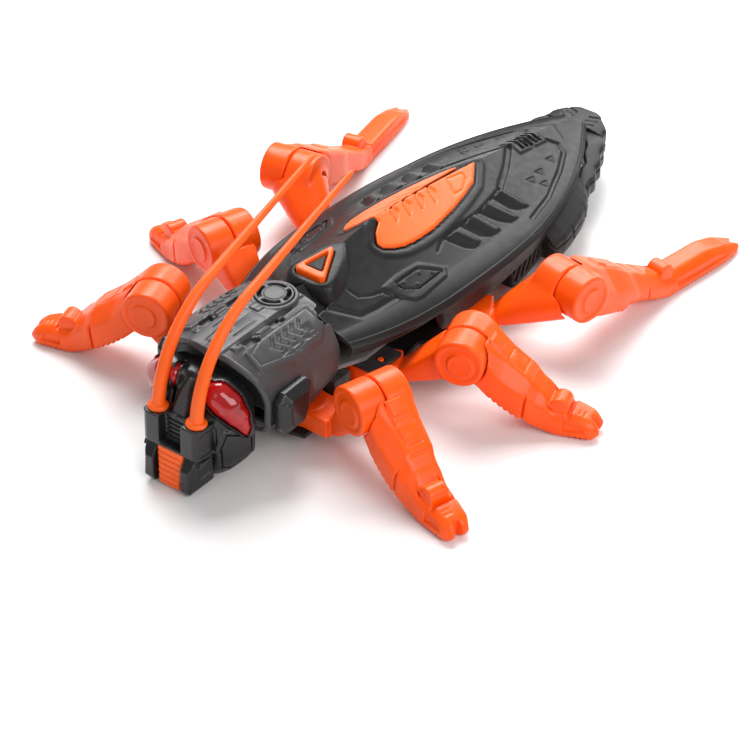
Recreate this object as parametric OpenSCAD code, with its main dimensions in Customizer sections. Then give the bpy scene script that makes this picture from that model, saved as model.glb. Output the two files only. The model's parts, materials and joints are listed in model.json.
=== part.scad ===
// Six-legged walking beetle robot: a shell over a belly tray, three legs a side worked by
// one sliding bar each, and a gear train from a small motor to each bar.
// +X is forward, +Y is the robot's left, +Z is up. The origin is on the floor under the
// middle of the robot. Everything on the right is the mirror image of the left.

/* [Shell] */
// Greatest half width of the shell, at its rim
shell_half_w = 45; // [44.5:0.1:45.5]
// Height of the highest point of the shell's ridge
shell_top = 59.4; // [59:0.1:60]
// Drop of the ridge from its highest point to the tail
shell_drop = 28.6; // [28:0.1:29]
// Height of the shell's rim over the middle legs
rim_z = 33; // [32.6:0.1:33.4]
// Thickness of the plastic walls
wall = 2; // [1.6:0.1:2.2]

/* [Legs] */
// Hip pivot of the front leg, x and y
front_hip = [92.8, 24]; // [20:0.1:100]
// Hip pivot of the middle leg, x and y
mid_hip = [54.8, 24]; // [20:0.1:100]
// Hip pivot of the rear leg, x and y
rear_hip = [0, 34]; // [-10:0.1:40]
// Centre of the front knee barrel
front_knee = [92.8, 58.8, 34.6]; // [30:0.1:100]
// Centre of the middle knee barrel
mid_knee = [37.2, 66.8, 32]; // [30:0.1:100]
// Centre of the rear knee barrel
rear_knee = [-26.2, 76.6, 31]; // [-30:0.1:100]
// Yaw of the front, middle and rear shins, from straight out to the side towards the tail
shin_yaw = [-17.4, 17.7, 80.3]; // [-20:0.1:85]
// Distance from knee axis to ankle, front and middle legs
short_shin = 40; // [39:0.1:41]
// Distance from knee axis to ankle, rear legs
long_shin = 60; // [59:0.1:61]
// Length of the foot, front and middle legs
short_foot = 20.5; // [20:0.1:21]
// Length of the foot, rear legs
long_foot = 52; // [51:0.1:53]
// Radius of the knee barrel
knee_r = 11.2; // [11:0.1:11.4]
// Half length of the knee barrel
knee_half = 13; // [12.6:0.1:13.2]
// Radius of the knee pin
knee_pin_r = 2; // [1.8:0.1:2.2]

/* [Drive] */
// Radius of the hip post
hip_post_r = 2.5; // [2.4:0.1:2.6]
// Distance from hip pivot to the drive pin on the leg's lever
lever = 10; // [10:0.1:10.2]
// Radius of the drive pin
drive_pin_r = 1.5; // [1.4:0.1:1.6]
// Travel of the walking bar to each side of rest
bar_travel = 2.44; // [2.2:0.01:2.44]
// Distance of the walking bar and the gears from the middle plane
train_y = 14; // [14:0.1:14.2]
// X place of the crank gear
crank_x = 30; // [29.5:0.1:30.5]
// Gear module
gear_module = 0.6; // [0.6:0.01:0.61]
// Radial clearance of every running fit
fit = 0.06; // [0.04:0.01:0.08]

/* [Head and feelers] */
// X place of the foremost point of the jaws
nose_x = 157; // [156.5:0.1:157.5]
// Distance of each feeler from the middle plane
feeler_y = 10.3; // [10:0.1:10.6]
// Length of each feeler from the bottom of its socket
feeler_len = 143; // [140:1:145]

/* [Hidden] */
$fn = 48;
eps = 0.01;
black = [0.11, 0.11, 0.12];
grey = [0.3, 0.3, 0.31];
orange = [0.98, 0.36, 0.08];

// Levels of the stack inside the belly, from the floor plate up
floor_z = 8;
floor_top = 10;
coxa_z0 = 10.4;
coxa_z1 = 19.6;
bar_z0 = 20;
bar_z1 = 22;
deck_z0 = 22.4;
deck_z1 = 24.4;
crank_z0 = 24.9;
crank_z1 = 27.9;
wheel_z0 = 28.4;
wheel_z1 = 30.6;
cover_z0 = 31.2;
cover_z1 = 33.2;
motor_z1 = 47;

knee_gap = 0.5;
hips = [front_hip, mid_hip, rear_hip];
knees = [front_knee, mid_knee, rear_knee];
shins = [short_shin, short_shin, long_shin];
feet = [short_foot, short_foot, long_foot];
// The middle leg's drive pin is outside its pivot, so it swings against the other two
pin_side = [-1, 1, -1];
// The rear knees are built the other way round: the upper leg holds the inner half of the barrel
flip = [0, 0, 1];
arm_x0 = [1 - knee_half, 1 - knee_half, knee_gap];
hip_bore_r = hip_post_r + fit;
knee_bore_r = knee_pin_r + fit;

// Gear train, along X from the crank gear back to the motor
wheel_teeth = 36;
small_teeth = 12;
pinion_teeth = 10;
compound_x = crank_x - gear_module * (wheel_teeth + small_teeth) / 2;
// The motors stand close to the middle plane, where the shell is highest
motor_y = 6.2;
motor_reach = gear_module * (wheel_teeth + pinion_teeth) / 2;
mesh_angle = asin((train_y - motor_y) / motor_reach);
motor_x = compound_x - motor_reach * cos(mesh_angle);
crank_throw = 2.2;
crank_pin_r = 1.1;
journal_r = 4.5;
axle_r = 1.5;
motor_r = 5.6;

// ---------- the shell's surface ----------
shell_x0 = -143;
shell_x1 = 72;
crest_x = 20;
skirt_z = 22;
notch_z = 31.5;
notch_x = 22;

function shell_w(x) = shell_half_w * (1 - pow(abs(x) / (x < 0 ? 153 : 116.5), 2.6));
function shell_rim(x) = max(29.4, rim_z + 0.06 * x);
function shell_ridge(x) = x < crest_x
    ? shell_top - shell_drop * pow((crest_x - x) / 164, 1.35)
    : shell_top - 3 * pow((x - crest_x) / 35, 1.6);
function skirt(x) = x < notch_x ? skirt_z : notch_z;
// Rise of the cross-section above the rim, from 0 at the rim to 1 at the ridge
function shell_rise(u) = (0.3 + 0.7 * pow(max(0, 1 - abs(u) / 0.75), 1.3)) * sqrt(1 - pow(abs(u), 5));
function shell_z(x, y) = shell_rim(x)
    + (shell_ridge(x) - shell_rim(x)) * shell_rise(min(1, abs(y) / shell_w(x)));
// Point of the cross-section at the fraction u of the half width, moved inwards by d
function shell_point(x, u, d) = [
    x,
    u * (shell_w(x) - d),
    shell_rim(x) + (shell_ridge(x) - shell_rim(x)) * shell_rise(u) - 1.25 * d * min(1, shell_rise(u) / 0.2)
];

// Closed loft through rings that all have the same number of points
module loft(rings) {
    n = len(rings[0]);
    m = len(rings);
    sides = [for (i = [0:m-2], j = [0:n-1])
        [i*n + j, i*n + (j+1)%n, (i+1)*n + (j+1)%n, (i+1)*n + j]];
    half = n / 2;
    // Each end is a strip of quads between the first half of the ring and the second
    cap0 = [for (j = [0:half-2]) [n-1-j, n-2-j, j+1, j]];
    cap1 = [for (j = [0:half-2]) [(m-1)*n + j, (m-1)*n + j+1, (m-1)*n + n-2-j, (m-1)*n + n-1-j]];
    polyhedron(points = [for (r = rings, p = r) p], faces = concat(sides, cap0, cap1));
}

// Cross-section of the shell with its skirt: over the top outside, back underneath
section_u = [1, 0.985, 0.94, 0.85, 0.72, 0.58, 0.44, 0.3, 0.15, 0, -0.15, -0.3, -0.44, -0.58, -0.72,
    -0.85, -0.94, -0.985, -1];
function shell_ring(x) = let (
    w = shell_w(x),
    last = len(section_u) - 1,
    outer = [for (u = section_u) shell_point(x, u, 0)],
    inner = [for (i = [last:-1:0]) shell_point(x, section_u[i], wall)]
) concat(
    [[x, w - 1.5, skirt(x)]], outer, [[x, 1.5 - w, skirt(x)]],
    [[x, 1.5 + wall - w, skirt(x)]], inner, [[x, w - wall - 1.5, skirt(x)]]
);

module top_shell() {
    xs = concat([shell_x0, -134, -122], [for (x = [-110:15:-20]) x], [-8, 8],
        [notch_x - 0.5, notch_x + 0.5, 36, 48, 60, shell_x1]);
    color(black) difference() {
        loft([for (x = xs) shell_ring(x)]);
        // Opening that the button's housing stands in
        housing_block();
        button_slot(0.25, 40, 70);
    }
}

// A plate lying on the shell: each span is [x, y0, y1]
module shell_plate(spans, lift, thick) {
    steps = 6;
    loft([for (s = spans) let (
        ys = [for (k = [0:steps]) s[1] + (s[2] - s[1]) * k / steps]
    ) concat(
        [for (k = [0:steps]) [s[0], ys[k], shell_z(s[0], ys[k]) + lift]],
        [for (k = [steps:-1:0]) [s[0], ys[k], shell_z(s[0], ys[k]) + lift + thick]]
    )]);
}

panel_half = [[-61, 1], [-54, 4.8], [-48, 7.9], [-39, 10.6], [-26, 13.2], [-10, 15.5], [2, 16],
    [12, 15.2], [18, 13.4], [22.5, 10.9], [23.6, 8.6]];
module top_panel() {
    color(orange) difference() {
        shell_plate([for (p = panel_half) [p.x, -p.y, p.y]], 0.3, 1);
        // Notch for the black horn that points back from the front
        translate([0, 0, 45]) linear_extrude(20)
            polygon([[13, 0], [20, 5], [24, 7.6], [30, 7.6], [30, -7.6], [24, -7.6], [20, -5]]);
    }
}

module shell_hatches() {
    color(black) for (side = [0, 1]) mirror([0, side, 0])
        shell_plate([[8.5, 31, 31.8], [17, 25.6, 32], [25, 25.1, 32], [31, 25, 28.3]], 0.3, 1);
}

module housing_block() {
    hull() {
        for (y = [-9, 9]) translate([66, y, 51]) cylinder(r = 4, h = 3);
        for (y = [-6, 6]) translate([62, y, 53]) cylinder(r = 4, h = 2.5);
        translate([38, 0, 56]) cylinder(r = 4, h = 3);
        translate([44, 0, 57]) cylinder(r = 4, h = 3);
    }
}
module button_housing() {
    color(grey) difference() {
        housing_block();
        button_slot(0.25, 40, 70);
        translate([0, 0, -wall]) hull() {
            translate([64, 7, 46]) cylinder(r = 3, h = 8);
            translate([64, -7, 46]) cylinder(r = 3, h = 8);
            translate([42, 0, 46]) cylinder(r = 3, h = 11);
        }
    }
}

// Rounded triangle of the power button, pointing back, grown by g
module button_slot(g, z0, z1) {
    translate([0, 0, z0]) linear_extrude(z1 - z0) button_outline(g);
}
module button_outline(g) {
    polygon([[44.5 - 1.9 * g, 0.8], [59 + g, 7.2 + g], [60 + g, 6 + g], [60 + g, -6 - g],
        [59 + g, -7.2 - g], [44.5 - 1.9 * g, -0.8]]);
}

module power_button() {
    color(orange) difference() {
        intersection() {
            button_slot(0, 51.6, 62);
            // The top slopes down to the front
            translate([0, -20, 51.6]) rotate([0, 12, 0]) cube([80, 40, 19.2]);
        }
        translate([52, 0, 53.6]) linear_extrude(10) button_core_outline(0);
    }
}
module button_core_outline(g) {
    polygon([[-3.6 - 2 * g, 0], [4 + g, 4 + 1.6 * g], [4 + g, -4 - 1.6 * g]]);
}
module button_core() {
    color(black) intersection() {
        translate([52, 0, 53.6]) linear_extrude(10) button_core_outline(-0.02);
        translate([0, -20, 51.2]) rotate([0, 12, 0]) cube([80, 40, 18.8]);
    }
}

module button_board() {
    color([0.1, 0.35, 0.2]) translate([42, -9, 44.6]) cube([22, 18, 1.6]);
    color(grey) translate([49, -3, 46.2]) cube([6, 6, 3]);
    color(black) translate([52, 0, 49.2]) cylinder(r = 1.7, h = 1);
}

module tail_bumper() {
    color(black) difference() {
        hull() for (side = [-1, 1]) {
            translate([-151, side * 7, 14]) cylinder(r = 6, h = 14);
            translate([-146, side * 12, 14]) cylinder(r = 4.5, h = 9);
            translate([-113, side * 25, 10]) cylinder(r = 3, h = 9);
        }
        // The shell's skirt stands on the bumper, and the tray's rear end is inside it
        translate([-143.3, -30, 21.8]) cube([60, 60, 20]);
        hull() for (side = [-1, 1]) {
            translate([-137, side * 8, 0]) cylinder(r = 4, h = 50);
            translate([-105, side * 22, 0]) cylinder(r = 2.5, h = 50);
        }
    }
}

// ---------- belly ----------
half_belly = [[106, 20], [104, 31], [84, 31], [80, 27], [66, 27], [62, 33], [44, 33], [22, 30],
    [12, 42.5], [-12, 42.5], [-22, 30], [-108, 23], [-121, 13]];

module both_sides(half) {
    polygon(concat(half, [for (i = [len(half)-1:-1:0]) [half[i].x, -half[i].y]]));
}

door_x0 = -98;
door_x1 = -38;
door_y = 17;
switch_x = -26;
battery_z = 18;
cell_y = 7.4;
cell_r = 7.1;

module belly_tray() {
    color(black) difference() {
        union() {
            translate([0, 0, floor_z]) linear_extrude(floor_top - floor_z) both_sides(half_belly);
            for (side = [0, 1]) mirror([0, side, 0]) {
                for (h = hips) translate([h.x, h.y, floor_z])
                    cylinder(r = hip_post_r, h = deck_z0 - floor_z);
                for (x = bar_guides) translate([x, train_y, floor_z])
                    cylinder(r = axle_r, h = deck_z0 - floor_z);
                // Dark block between the front and middle legs
                translate([67, 20, floor_z]) cube([11, 7, bar_z0 - 0.3 - floor_z]);
                // Side wall behind the rear leg, and the pod outside it
                translate([-108, 21, floor_z]) rotate(4.6) cube([86, wall, 15]);
                hull() {
                    translate([-100, 20, floor_z]) cylinder(r = 4, h = 12);
                    translate([-80, 31, floor_z]) cylinder(r = 5, h = 13);
                    translate([-78, 24, floor_z]) cylinder(r = 4, h = 13);
                }
                // Posts that hold the circuit board
                for (x = [-94, -33]) translate([x, 18.5, floor_z]) cylinder(r = 2.2, h = 20);
            }
            translate([-121, -13, floor_z]) cube([wall, 26, 14]);
            // Saddles that hold the battery cells
            for (x = [-92, -48]) translate([x, -15, floor_z]) cube([3, 30, 8]);
        }
        // Battery opening, its door's ledge and the door's screw
        translate([door_x0 + 4, -door_y + 2, floor_z - 1])
            cube([door_x1 - door_x0 - 6, 2 * door_y - 4, 4]);
        translate([door_x0, -door_y, floor_z - 1]) cube([door_x1 - door_x0, 2 * door_y, 2.2]);
        translate([door_x0 + 2.2, 0, floor_z - 1]) cylinder(r = 1, h = 20);
        for (y = [-cell_y, cell_y]) translate([-96, y, battery_z]) rotate([0, 90, 0])
            cylinder(r = cell_r + 0.05, h = 56);
        // Slot of the slide switch
        translate([switch_x - 6, -2, floor_z - 1]) cube([12, 4, 4]);
    }
}

module battery_door() {
    color(black) difference() {
        translate([door_x0 + 0.2, -door_y + 0.2, floor_z])
            cube([door_x1 - door_x0 - 0.4, 2 * door_y - 0.4, 1.1]);
        translate([door_x0 + 2.2, 0, floor_z - 1]) cylinder(r = 1.2, h = 4);
    }
}

module door_screw() {
    color("silver") difference() {
        union() {
            translate([door_x0 + 2.2, 0, floor_z - 1.2]) cylinder(r = 2, h = 1.2);
            translate([door_x0 + 2.2, 0, floor_z - 1.2]) cylinder(r = 1, h = 3);
        }
        translate([door_x0 + 1, -0.3, floor_z - 1.3]) cube([2.4, 0.6, 0.7]);
        translate([door_x0 + 1.9, -1.2, floor_z - 1.3]) cube([0.6, 2.4, 0.7]);
    }
}

module slide_switch() {
    color(black) {
        translate([switch_x - 1.5, -1.5, floor_z - 0.8]) cube([3, 3, 3]);
        translate([switch_x - 5, -3, floor_top + 0.2]) cube([10, 6, 1.8]);
    }
}

module battery() {
    color([0.2, 0.45, 0.75]) for (y = [-cell_y, cell_y])
        translate([-93, y, battery_z]) rotate([0, 90, 0]) {
            cylinder(r = cell_r, h = 49);
            cylinder(r = 2.4, h = 50);
        }
}

board_z = 28;
module circuit_board() {
    color([0.1, 0.35, 0.2]) translate([-96, -21, board_z]) cube([66, 42, 1.6]);
    color(black) {
        translate([-60, -6, board_z + 1.6]) cube([10, 8, 1.4]);
        translate([-80, 6, board_z + 1.6]) cube([6, 6, 1.2]);
        translate([-44, 8, board_z + 1.6]) cube([6, 9, 4]);
    }
    color("silver") for (y = [-13, -5]) translate([-84, y, board_z + 1.6]) cylinder(r = 2.5, h = 4);
}

// ---------- thorax and head ----------
// Thin slice across the robot at x, for hulls: points are [y, z] of the left half
module slice(x, half) {
    translate([x, 0, 0]) rotate([90, 0, 90]) linear_extrude(eps)
        polygon(concat(half, [for (i = [len(half)-1:-1:0]) [-half[i].x, half[i].y]]));
}

module thorax_block(d) {
    hull() {
        slice(73 + d, [[0, 56 - d], [9 - d/2, 56 - d], [19 - d, 52 - d], [28 - d, 36], [26 - d, 22]]);
        slice(100, [[0, 58 - d], [10 - d/2, 58 - d], [24 - d, 52 - d], [31 - d, 40], [30 - d, 20]]);
        slice(126 - d, [[0, 58 - d], [10 - d/2, 58 - d], [25 - d, 49 - d], [29 - d, 40], [26 - d, 22]]);
    }
}

module thorax_shell() {
    color(grey) difference() {
        thorax_block(0);
        difference() {
            thorax_block(wall);
            translate([84, 0, 30]) cylinder(r = 9.5, h = 40);
        }
        translate([70, -24, 10]) cube([56 - 2 * wall, 48, 22]);
        // Speaker well and its opening through the top
        translate([84, 0, 20]) cylinder(r = 8.5, h = 50);
        // Open back, round the shell's front end
        translate([60, -22, 20]) cube([20, 44, 33]);
        translate([124, -22, 14]) cube([20, 44, 30]);
    }
}

module side_fenders() {
    color(grey) for (side = [0, 1]) mirror([0, side, 0]) hull() {
        translate([101, 31.2, 30]) cube([20, eps, 12]);
        translate([106, 31.2, 20.4]) cube([14, eps, 20]);
        translate([106, 34, 24]) cube([12, eps, 14]);
    }
}

module head_block(d) {
    hull() {
        slice(126.2, [[0, 52 - d], [16 - d, 50 - d], [25 - d, 40], [25 - d, 14], [20 - d, 8 + d]]);
        slice(138 - d/2, [[0, 50 - d], [12 - d, 48 - d], [22 - d, 32], [21 - d, 12], [17 - d, 4 + d]]);
        slice(146 - d, [[0, 34 - d], [11 - d, 34 - d], [15 - d, 20], [13 - d, 6 + d]]);
    }
}

module head_shell() {
    color(black) difference() {
        union() {
            head_block(0);
            // Sockets of the feelers
            for (y = [-feeler_y, feeler_y]) translate([149, y, 20]) cylinder(r = 4.6, h = 14);
            translate([140, -11, 20]) cube([9, 22, 13]);
        }
        translate([125, 0, 0]) head_block_inside();
        for (side = [0, 1]) mirror([0, side, 0]) eye_form(0.1);
        for (y = [-feeler_y, feeler_y]) {
            translate([feeler_root.x, y, feeler_root.y]) cylinder(r = 3.3, h = 20);
            translate([feeler_root.x, y, 34]) cylinder(r = 4.6, h = 8);
        }
        // Flat back face of the jaws' mount
        translate([144, -20, -1]) cube([30, 40, 20]);
    }
}
module head_block_inside() {
    translate([-125, 0, 0]) intersection() {
        head_block(wall);
        translate([120, -16, 10]) cube([22, 32, 38]);
    }
}

// Crescent lens that wraps the front corner of the head
module eye_form(g) {
    hull() {
        translate([134, 12, 47]) sphere(r = 4 + g, $fn = 24);
        translate([139, 14, 41]) sphere(r = 4.4 + g, $fn = 24);
        translate([133, 21.5, 32]) sphere(r = 2.6 + g, $fn = 24);
    }
}
module eye() {
    color([0.8, 0.05, 0.08]) difference() {
        eye_form(0);
        // Hollow behind the lens for its lamp
        translate([126, 10, 38]) rotate([0, 60, 20]) cylinder(r = 2, h = 9);
    }
}
module eye_left() { eye(); }
module eye_right() { mirror([0, 1, 0]) eye(); }

module eye_lamps() {
    color("white") for (side = [0, 1]) mirror([0, side, 0])
        translate([126, 10, 38]) rotate([0, 60, 20]) {
            cylinder(r = 1.5, h = 7);
            translate([0, 0, -1]) cylinder(r = 1.9, h = 1);
        }
}

module mandibles() {
    color(black) for (side = [0, 1]) mirror([0, side, 0]) hull() {
        translate([144.2, 7.4, 4]) cube([1, 7, 15]);
        translate([152, 7.4, 6]) cube([2, 4.5, 13.5]);
        translate([nose_x - 1.5, 7.4, 1.2]) cube([1.5, 2, 12]);
        translate([150, 7.4, 1.2]) cube([2, 5, 4]);
    }
}

module mouth_insert() {
    color(orange) difference() {
        hull() {
            translate([144.2, -7.2, 3]) cube([1, 14.4, 16]);
            translate([152, -7.2, 18.5]) cube([2.5, 14.4, 1.2]);
            translate([nose_x - 4, -5.4, 1.4]) cube([2.5, 10.8, 2]);
        }
        // Ribs
        for (z = [4.5:3:17]) translate([nose_x - 5 - z * 0.04, -8, z])
            cube([8, 16, 0.7]);
    }
}

// Feeler: a tapered rod that leaves its socket upright and bends back over the shell
function feeler_dir(s) = 93 + 69 * min(1, max(0, (s - 6) / 64));
feeler_steps = 16;
feeler_root = [149, 26];
feeler_step = feeler_len / feeler_steps;
function feeler_x(i) = i == 0 ? feeler_root.x
    : feeler_x(i - 1) + feeler_step * cos(feeler_dir((i - 0.5) * feeler_step));
function feeler_z(i) = i == 0 ? feeler_root.y
    : feeler_z(i - 1) + feeler_step * sin(feeler_dir((i - 0.5) * feeler_step));
module antenna() {
    sides = 10;
    rings = [for (i = [0:feeler_steps]) let (
        a = feeler_dir(i * feeler_len / feeler_steps),
        r = 2.8 - 1.7 * i / feeler_steps
    ) [for (j = [0:sides-1]) let (u = r * cos(j * 36), v = -r * sin(j * 36))
        [feeler_x(i) + u * sin(a), v, feeler_z(i) - u * cos(a)]]];
    color(orange) {
        loft(rings);
        translate([feeler_root.x, 0, 34]) cylinder(r1 = 4.3, r2 = 3.4, h = 2.4);
    }
}
module antenna_left() { translate([0, feeler_y, 0]) antenna(); }
module antenna_right() { translate([0, -feeler_y, 0]) antenna(); }

module speaker_grille() {
    color(grey) difference() {
        translate([84, 0, 55.4]) cylinder(r = 8.4, h = 2.6);
        difference() {
            translate([84, 0, 54]) cylinder(r = 6.6, h = 8);
            translate([84, 0, 53]) cylinder(r = 5.2, h = 10);
            for (a = [0:60:120]) translate([84, 0, 57]) rotate(a) cube([20, 2, 10], center = true);
        }
    }
}
module speaker() {
    color("silver") {
        translate([84, 0, 45]) cylinder(r = 5, h = 4);
        translate([84, 0, 49]) cylinder(r = 8.3, h = 3);
    }
}

// ---------- gear train ----------
pressure = 25;
addendum = 0.75;
dedendum = 1.15;
// Thinning of each flank of a tooth, so that the wheels turn freely
flank_ease = 0.0785;

function involute(a) = tan(a) * 180 / PI - a;
// Half angle of a tooth at radius r
function half_tooth(teeth, r) = let (
    pitch_r = gear_module * teeth / 2,
    base_r = pitch_r * cos(pressure),
    at = acos(min(1, base_r / max(r, base_r)))
) 90 / teeth - flank_ease / pitch_r * 180 / PI + involute(pressure) - involute(at);

module gear_outline(teeth) {
    pitch_r = gear_module * teeth / 2;
    root = pitch_r - dedendum * gear_module;
    tip = pitch_r + addendum * gear_module;
    mid = (pitch_r + tip) / 2;
    radii = [root, pitch_r * cos(pressure) + 0.1, pitch_r, mid, tip];
    polygon([for (k = [0:teeth-1]) each let (a = 180 + k * 360 / teeth) concat(
        [for (r = radii) let (b = a - half_tooth(teeth, r)) r * [cos(b), sin(b)]],
        [for (i = [4:-1:0]) let (b = a + half_tooth(teeth, radii[i])) radii[i] * [cos(b), sin(b)]]
    )]);
}
module gear(teeth, h) { linear_extrude(h) gear_outline(teeth); }

module crank_gear() {
    color("white") translate([crank_x, train_y, 0]) {
        translate([0, 0, crank_z0]) gear(wheel_teeth, crank_z1 - crank_z0);
        translate([0, 0, deck_z0]) cylinder(r = journal_r, h = crank_z0 - deck_z0);
        translate([0, 0, crank_z1]) cylinder(r = axle_r, h = cover_z1 - crank_z1);
        translate([crank_throw, 0, bar_z0 + 0.2]) cylinder(r = crank_pin_r, h = deck_z0 - bar_z0);
    }
}
module compound_gear() {
    color([0.95, 0.9, 0.7]) translate([compound_x, train_y, 0]) difference() {
        union() {
            // The small wheel has a gap, not a tooth, where it meets the crank gear
            translate([0, 0, crank_z0]) rotate(15) gear(small_teeth, wheel_z0 - crank_z0 + eps);
            translate([0, 0, wheel_z0]) rotate(mesh_angle) gear(wheel_teeth, wheel_z1 - wheel_z0);
        }
        cylinder(r = axle_r + fit, h = 60);
    }
}
module motor_pinion() {
    color("goldenrod") translate([motor_x, motor_y, 0]) {
        translate([0, 0, wheel_z0 - 0.2]) rotate(mesh_angle - 180 / pinion_teeth)
            gear(pinion_teeth, wheel_z1 - wheel_z0 + 0.4);
        translate([0, 0, wheel_z0]) cylinder(r = 1, h = 10);
    }
}
module motor() {
    color("silver") difference() {
        translate([motor_x, motor_y, cover_z1]) cylinder(r = motor_r, h = motor_z1 - cover_z1);
        translate([motor_x, motor_y, cover_z1 - 1]) cylinder(r = 1 + fit, h = 6.4);
    }
}
module motor_left() { motor(); }
module motor_right() { mirror([0, 1, 0]) motor(); }
module motor_pinion_left() { motor_pinion(); }
module motor_pinion_right() { mirror([0, 1, 0]) motor_pinion(); }
module compound_gear_left() { compound_gear(); }
module compound_gear_right() { mirror([0, 1, 0]) compound_gear(); }
module crank_gear_left() { crank_gear(); }
module crank_gear_right() { mirror([0, 1, 0]) crank_gear(); }

half_deck = [[104, 20], [103, 23.8], [74, 23.8], [60, 30], [44, 30], [20, 32], [10, 38], [-10, 38],
    [-20, 28], [-21, 18]];
cover_posts = [[-10, 20], [46, 20]];
screw_posts = [[-10, 6], [46, 4]];

module gear_deck() {
    color(grey) difference() {
        union() {
            translate([0, 0, deck_z0]) linear_extrude(deck_z1 - deck_z0) both_sides(half_deck);
            for (side = [0, 1]) mirror([0, side, 0]) {
                for (p = concat(cover_posts, screw_posts)) translate([p.x, p.y, deck_z1])
                    cylinder(r = 2.5, h = cover_z0 - deck_z1);
                translate([compound_x, train_y, deck_z1]) cylinder(r = axle_r, h = cover_z0 - deck_z1);
            }
        }
        for (side = [0, 1]) mirror([0, side, 0]) {
            translate([crank_x, train_y, deck_z0 - 1]) cylinder(r = journal_r + fit, h = 4);
            for (p = screw_posts) translate([p.x, p.y, deck_z0 - 1]) cylinder(r = 0.9, h = 20);
        }
    }
}

module gear_cover() {
    color(grey) difference() {
        translate([-14, -25, cover_z0]) cube([64, 50, cover_z1 - cover_z0]);
        for (side = [0, 1]) mirror([0, side, 0]) {
            translate([crank_x, train_y, cover_z0 - 1]) cylinder(r = axle_r + fit, h = 4);
            translate([motor_x, motor_y, cover_z0 - 1]) cylinder(r = 1.6, h = 4);
            for (p = screw_posts) translate([p.x, p.y, cover_z0 - 1]) cylinder(r = 1.1, h = 4);
        }
    }
}

module cover_screws() {
    color("silver") for (side = [0, 1]) mirror([0, side, 0])
        for (p = screw_posts) translate([p.x, p.y, cover_z0 - 5]) {
            cylinder(r = 0.9, h = 7);
            translate([0, 0, cover_z1 - cover_z0 + 5]) cylinder(r = 1.9, h = 1.2);
        }
}

bar_guides = [78, -14];
slot_y = 2.4;
module walk_bar() {
    rear_pin_y = rear_hip.y - lever;
    mid_pin_y = mid_hip.y + lever;
    color(black) translate([0, 0, bar_z0]) difference() {
        linear_extrude(bar_z1 - bar_z0) difference() {
            union() {
                translate([-20, train_y - 2.2]) square([front_hip.x + 25, 4.4]);
                for (x = bar_guides) translate([x - 7, train_y - 3.6]) square([14, 7.2]);
                // Yoke round the crank pin
                translate([crank_x - 9, train_y - 6.5]) square([18, 13]);
                translate([front_hip.x - 5, train_y - 4.8]) square([10, 9.6]);
                // Frame round the middle leg's post, out to its drive pin
                translate([mid_hip.x - 9, train_y - 2.2]) square([18, mid_pin_y - train_y + 6.6]);
                translate([-5, train_y - 2.2]) square([10, rear_pin_y - train_y + 6.6]);
            }
            for (x = bar_guides) translate([x - bar_travel - 1.8, train_y - axle_r - fit])
                square([2 * bar_travel + 3.6, 2 * (axle_r + fit)]);
            translate([crank_x - 6.2, train_y - 4]) square([12.4, 8]);
            translate([mid_hip.x - 6, mid_hip.y - 4]) square([12, 8]);
        }
        drive_slot(front_hip.x, front_hip.y - lever);
        drive_slot(mid_hip.x, mid_pin_y);
        drive_slot(rear_hip.x, rear_pin_y);
    }
}
// Slot across the bar in which a leg's drive pin pushes
module drive_slot(x, y) {
    w = drive_pin_r + 0.09;
    translate([x - w, y - slot_y, -1]) cube([2 * w, 2 * slot_y, 4]);
}
module walk_bar_left() { walk_bar(); }
module walk_bar_right() { mirror([0, 1, 0]) walk_bar(); }

// ---------- legs ----------
// Children in the frame of a knee: X along the barrel towards the upper leg's half of it,
// Y out along the shin
module at_knee(k) { translate(knees[k]) rotate(shin_yaw[k]) mirror([flip[k], 0, 0]) children(); }
module barrel(x0, x1, r) { translate([x0, 0, 0]) rotate([0, 90, 0]) cylinder(r = r, h = x1 - x0); }

module coxa(k) {
    h = hips[k];
    out = [knees[k].x - h.x, knees[k].y - h.y];
    turn = atan2(-out.x, out.y);
    pin_y = pin_side[k] * lever;
    color(orange) difference() {
        union() {
            translate([h.x, h.y, coxa_z0]) {
                cylinder(r = 8.5, h = coxa_z1 - coxa_z0);
                rotate(turn) translate([-8.4, 1, 0.2]) cube([16.8, 15.5, coxa_z1 - coxa_z0 - 0.4]);
                translate([-3.5, min(0, pin_y), 4]) cube([7, abs(pin_y), coxa_z1 - coxa_z0 - 4]);
                translate([0, pin_y, 4]) cylinder(r = 3.5, h = coxa_z1 - coxa_z0 - 4);
                translate([0, pin_y, 4]) cylinder(r = drive_pin_r, h = bar_z1 - coxa_z0 - 4);
            }
            difference() {
                hull() {
                    translate([h.x, h.y, coxa_z0]) rotate(turn)
                        translate([-8.2, 15, 0.3]) cube([16.4, 3.6, coxa_z1 - coxa_z0 - 3.8]);
                    translate([h.x, h.y, coxa_z0]) rotate(turn)
                        translate([-8.6, 21, 1]) cube([17.2, 1, 7.4]);
                    at_knee(k) barrel(arm_x0[k], knee_half - 1, knee_r - 3);
                }
                at_knee(k) barrel(-30, 0.2, knee_r + knee_gap);
            }
            at_knee(k) barrel(0, knee_half, knee_r);
        }
        translate([h.x, h.y, 0]) cylinder(r = hip_bore_r, h = 40);
        at_knee(k) barrel(-1, knee_half - 2, knee_pin_r);
        if (flip[k] == 1) at_knee(k) barrel(knee_half - 2, knee_half + 1, pin_head_r + 0.3);
    }
}

// The head is on the lower leg's side in front, and on the upper leg's side at the rear
pin_head_r = 3.6;
module knee_pin(k) {
    color("silver") at_knee(k) mirror([flip[k], 0, 0]) {
        barrel(-knee_half + 2, knee_half - 2, knee_pin_r);
        difference() {
            barrel(-knee_half + 0.4, -knee_half + 2, pin_head_r);
            translate([-knee_half, -2.4, -0.4]) cube([1, 4.8, 0.8]);
            translate([-knee_half, -0.4, -2.4]) cube([1, 0.8, 4.8]);
        }
    }
}

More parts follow.
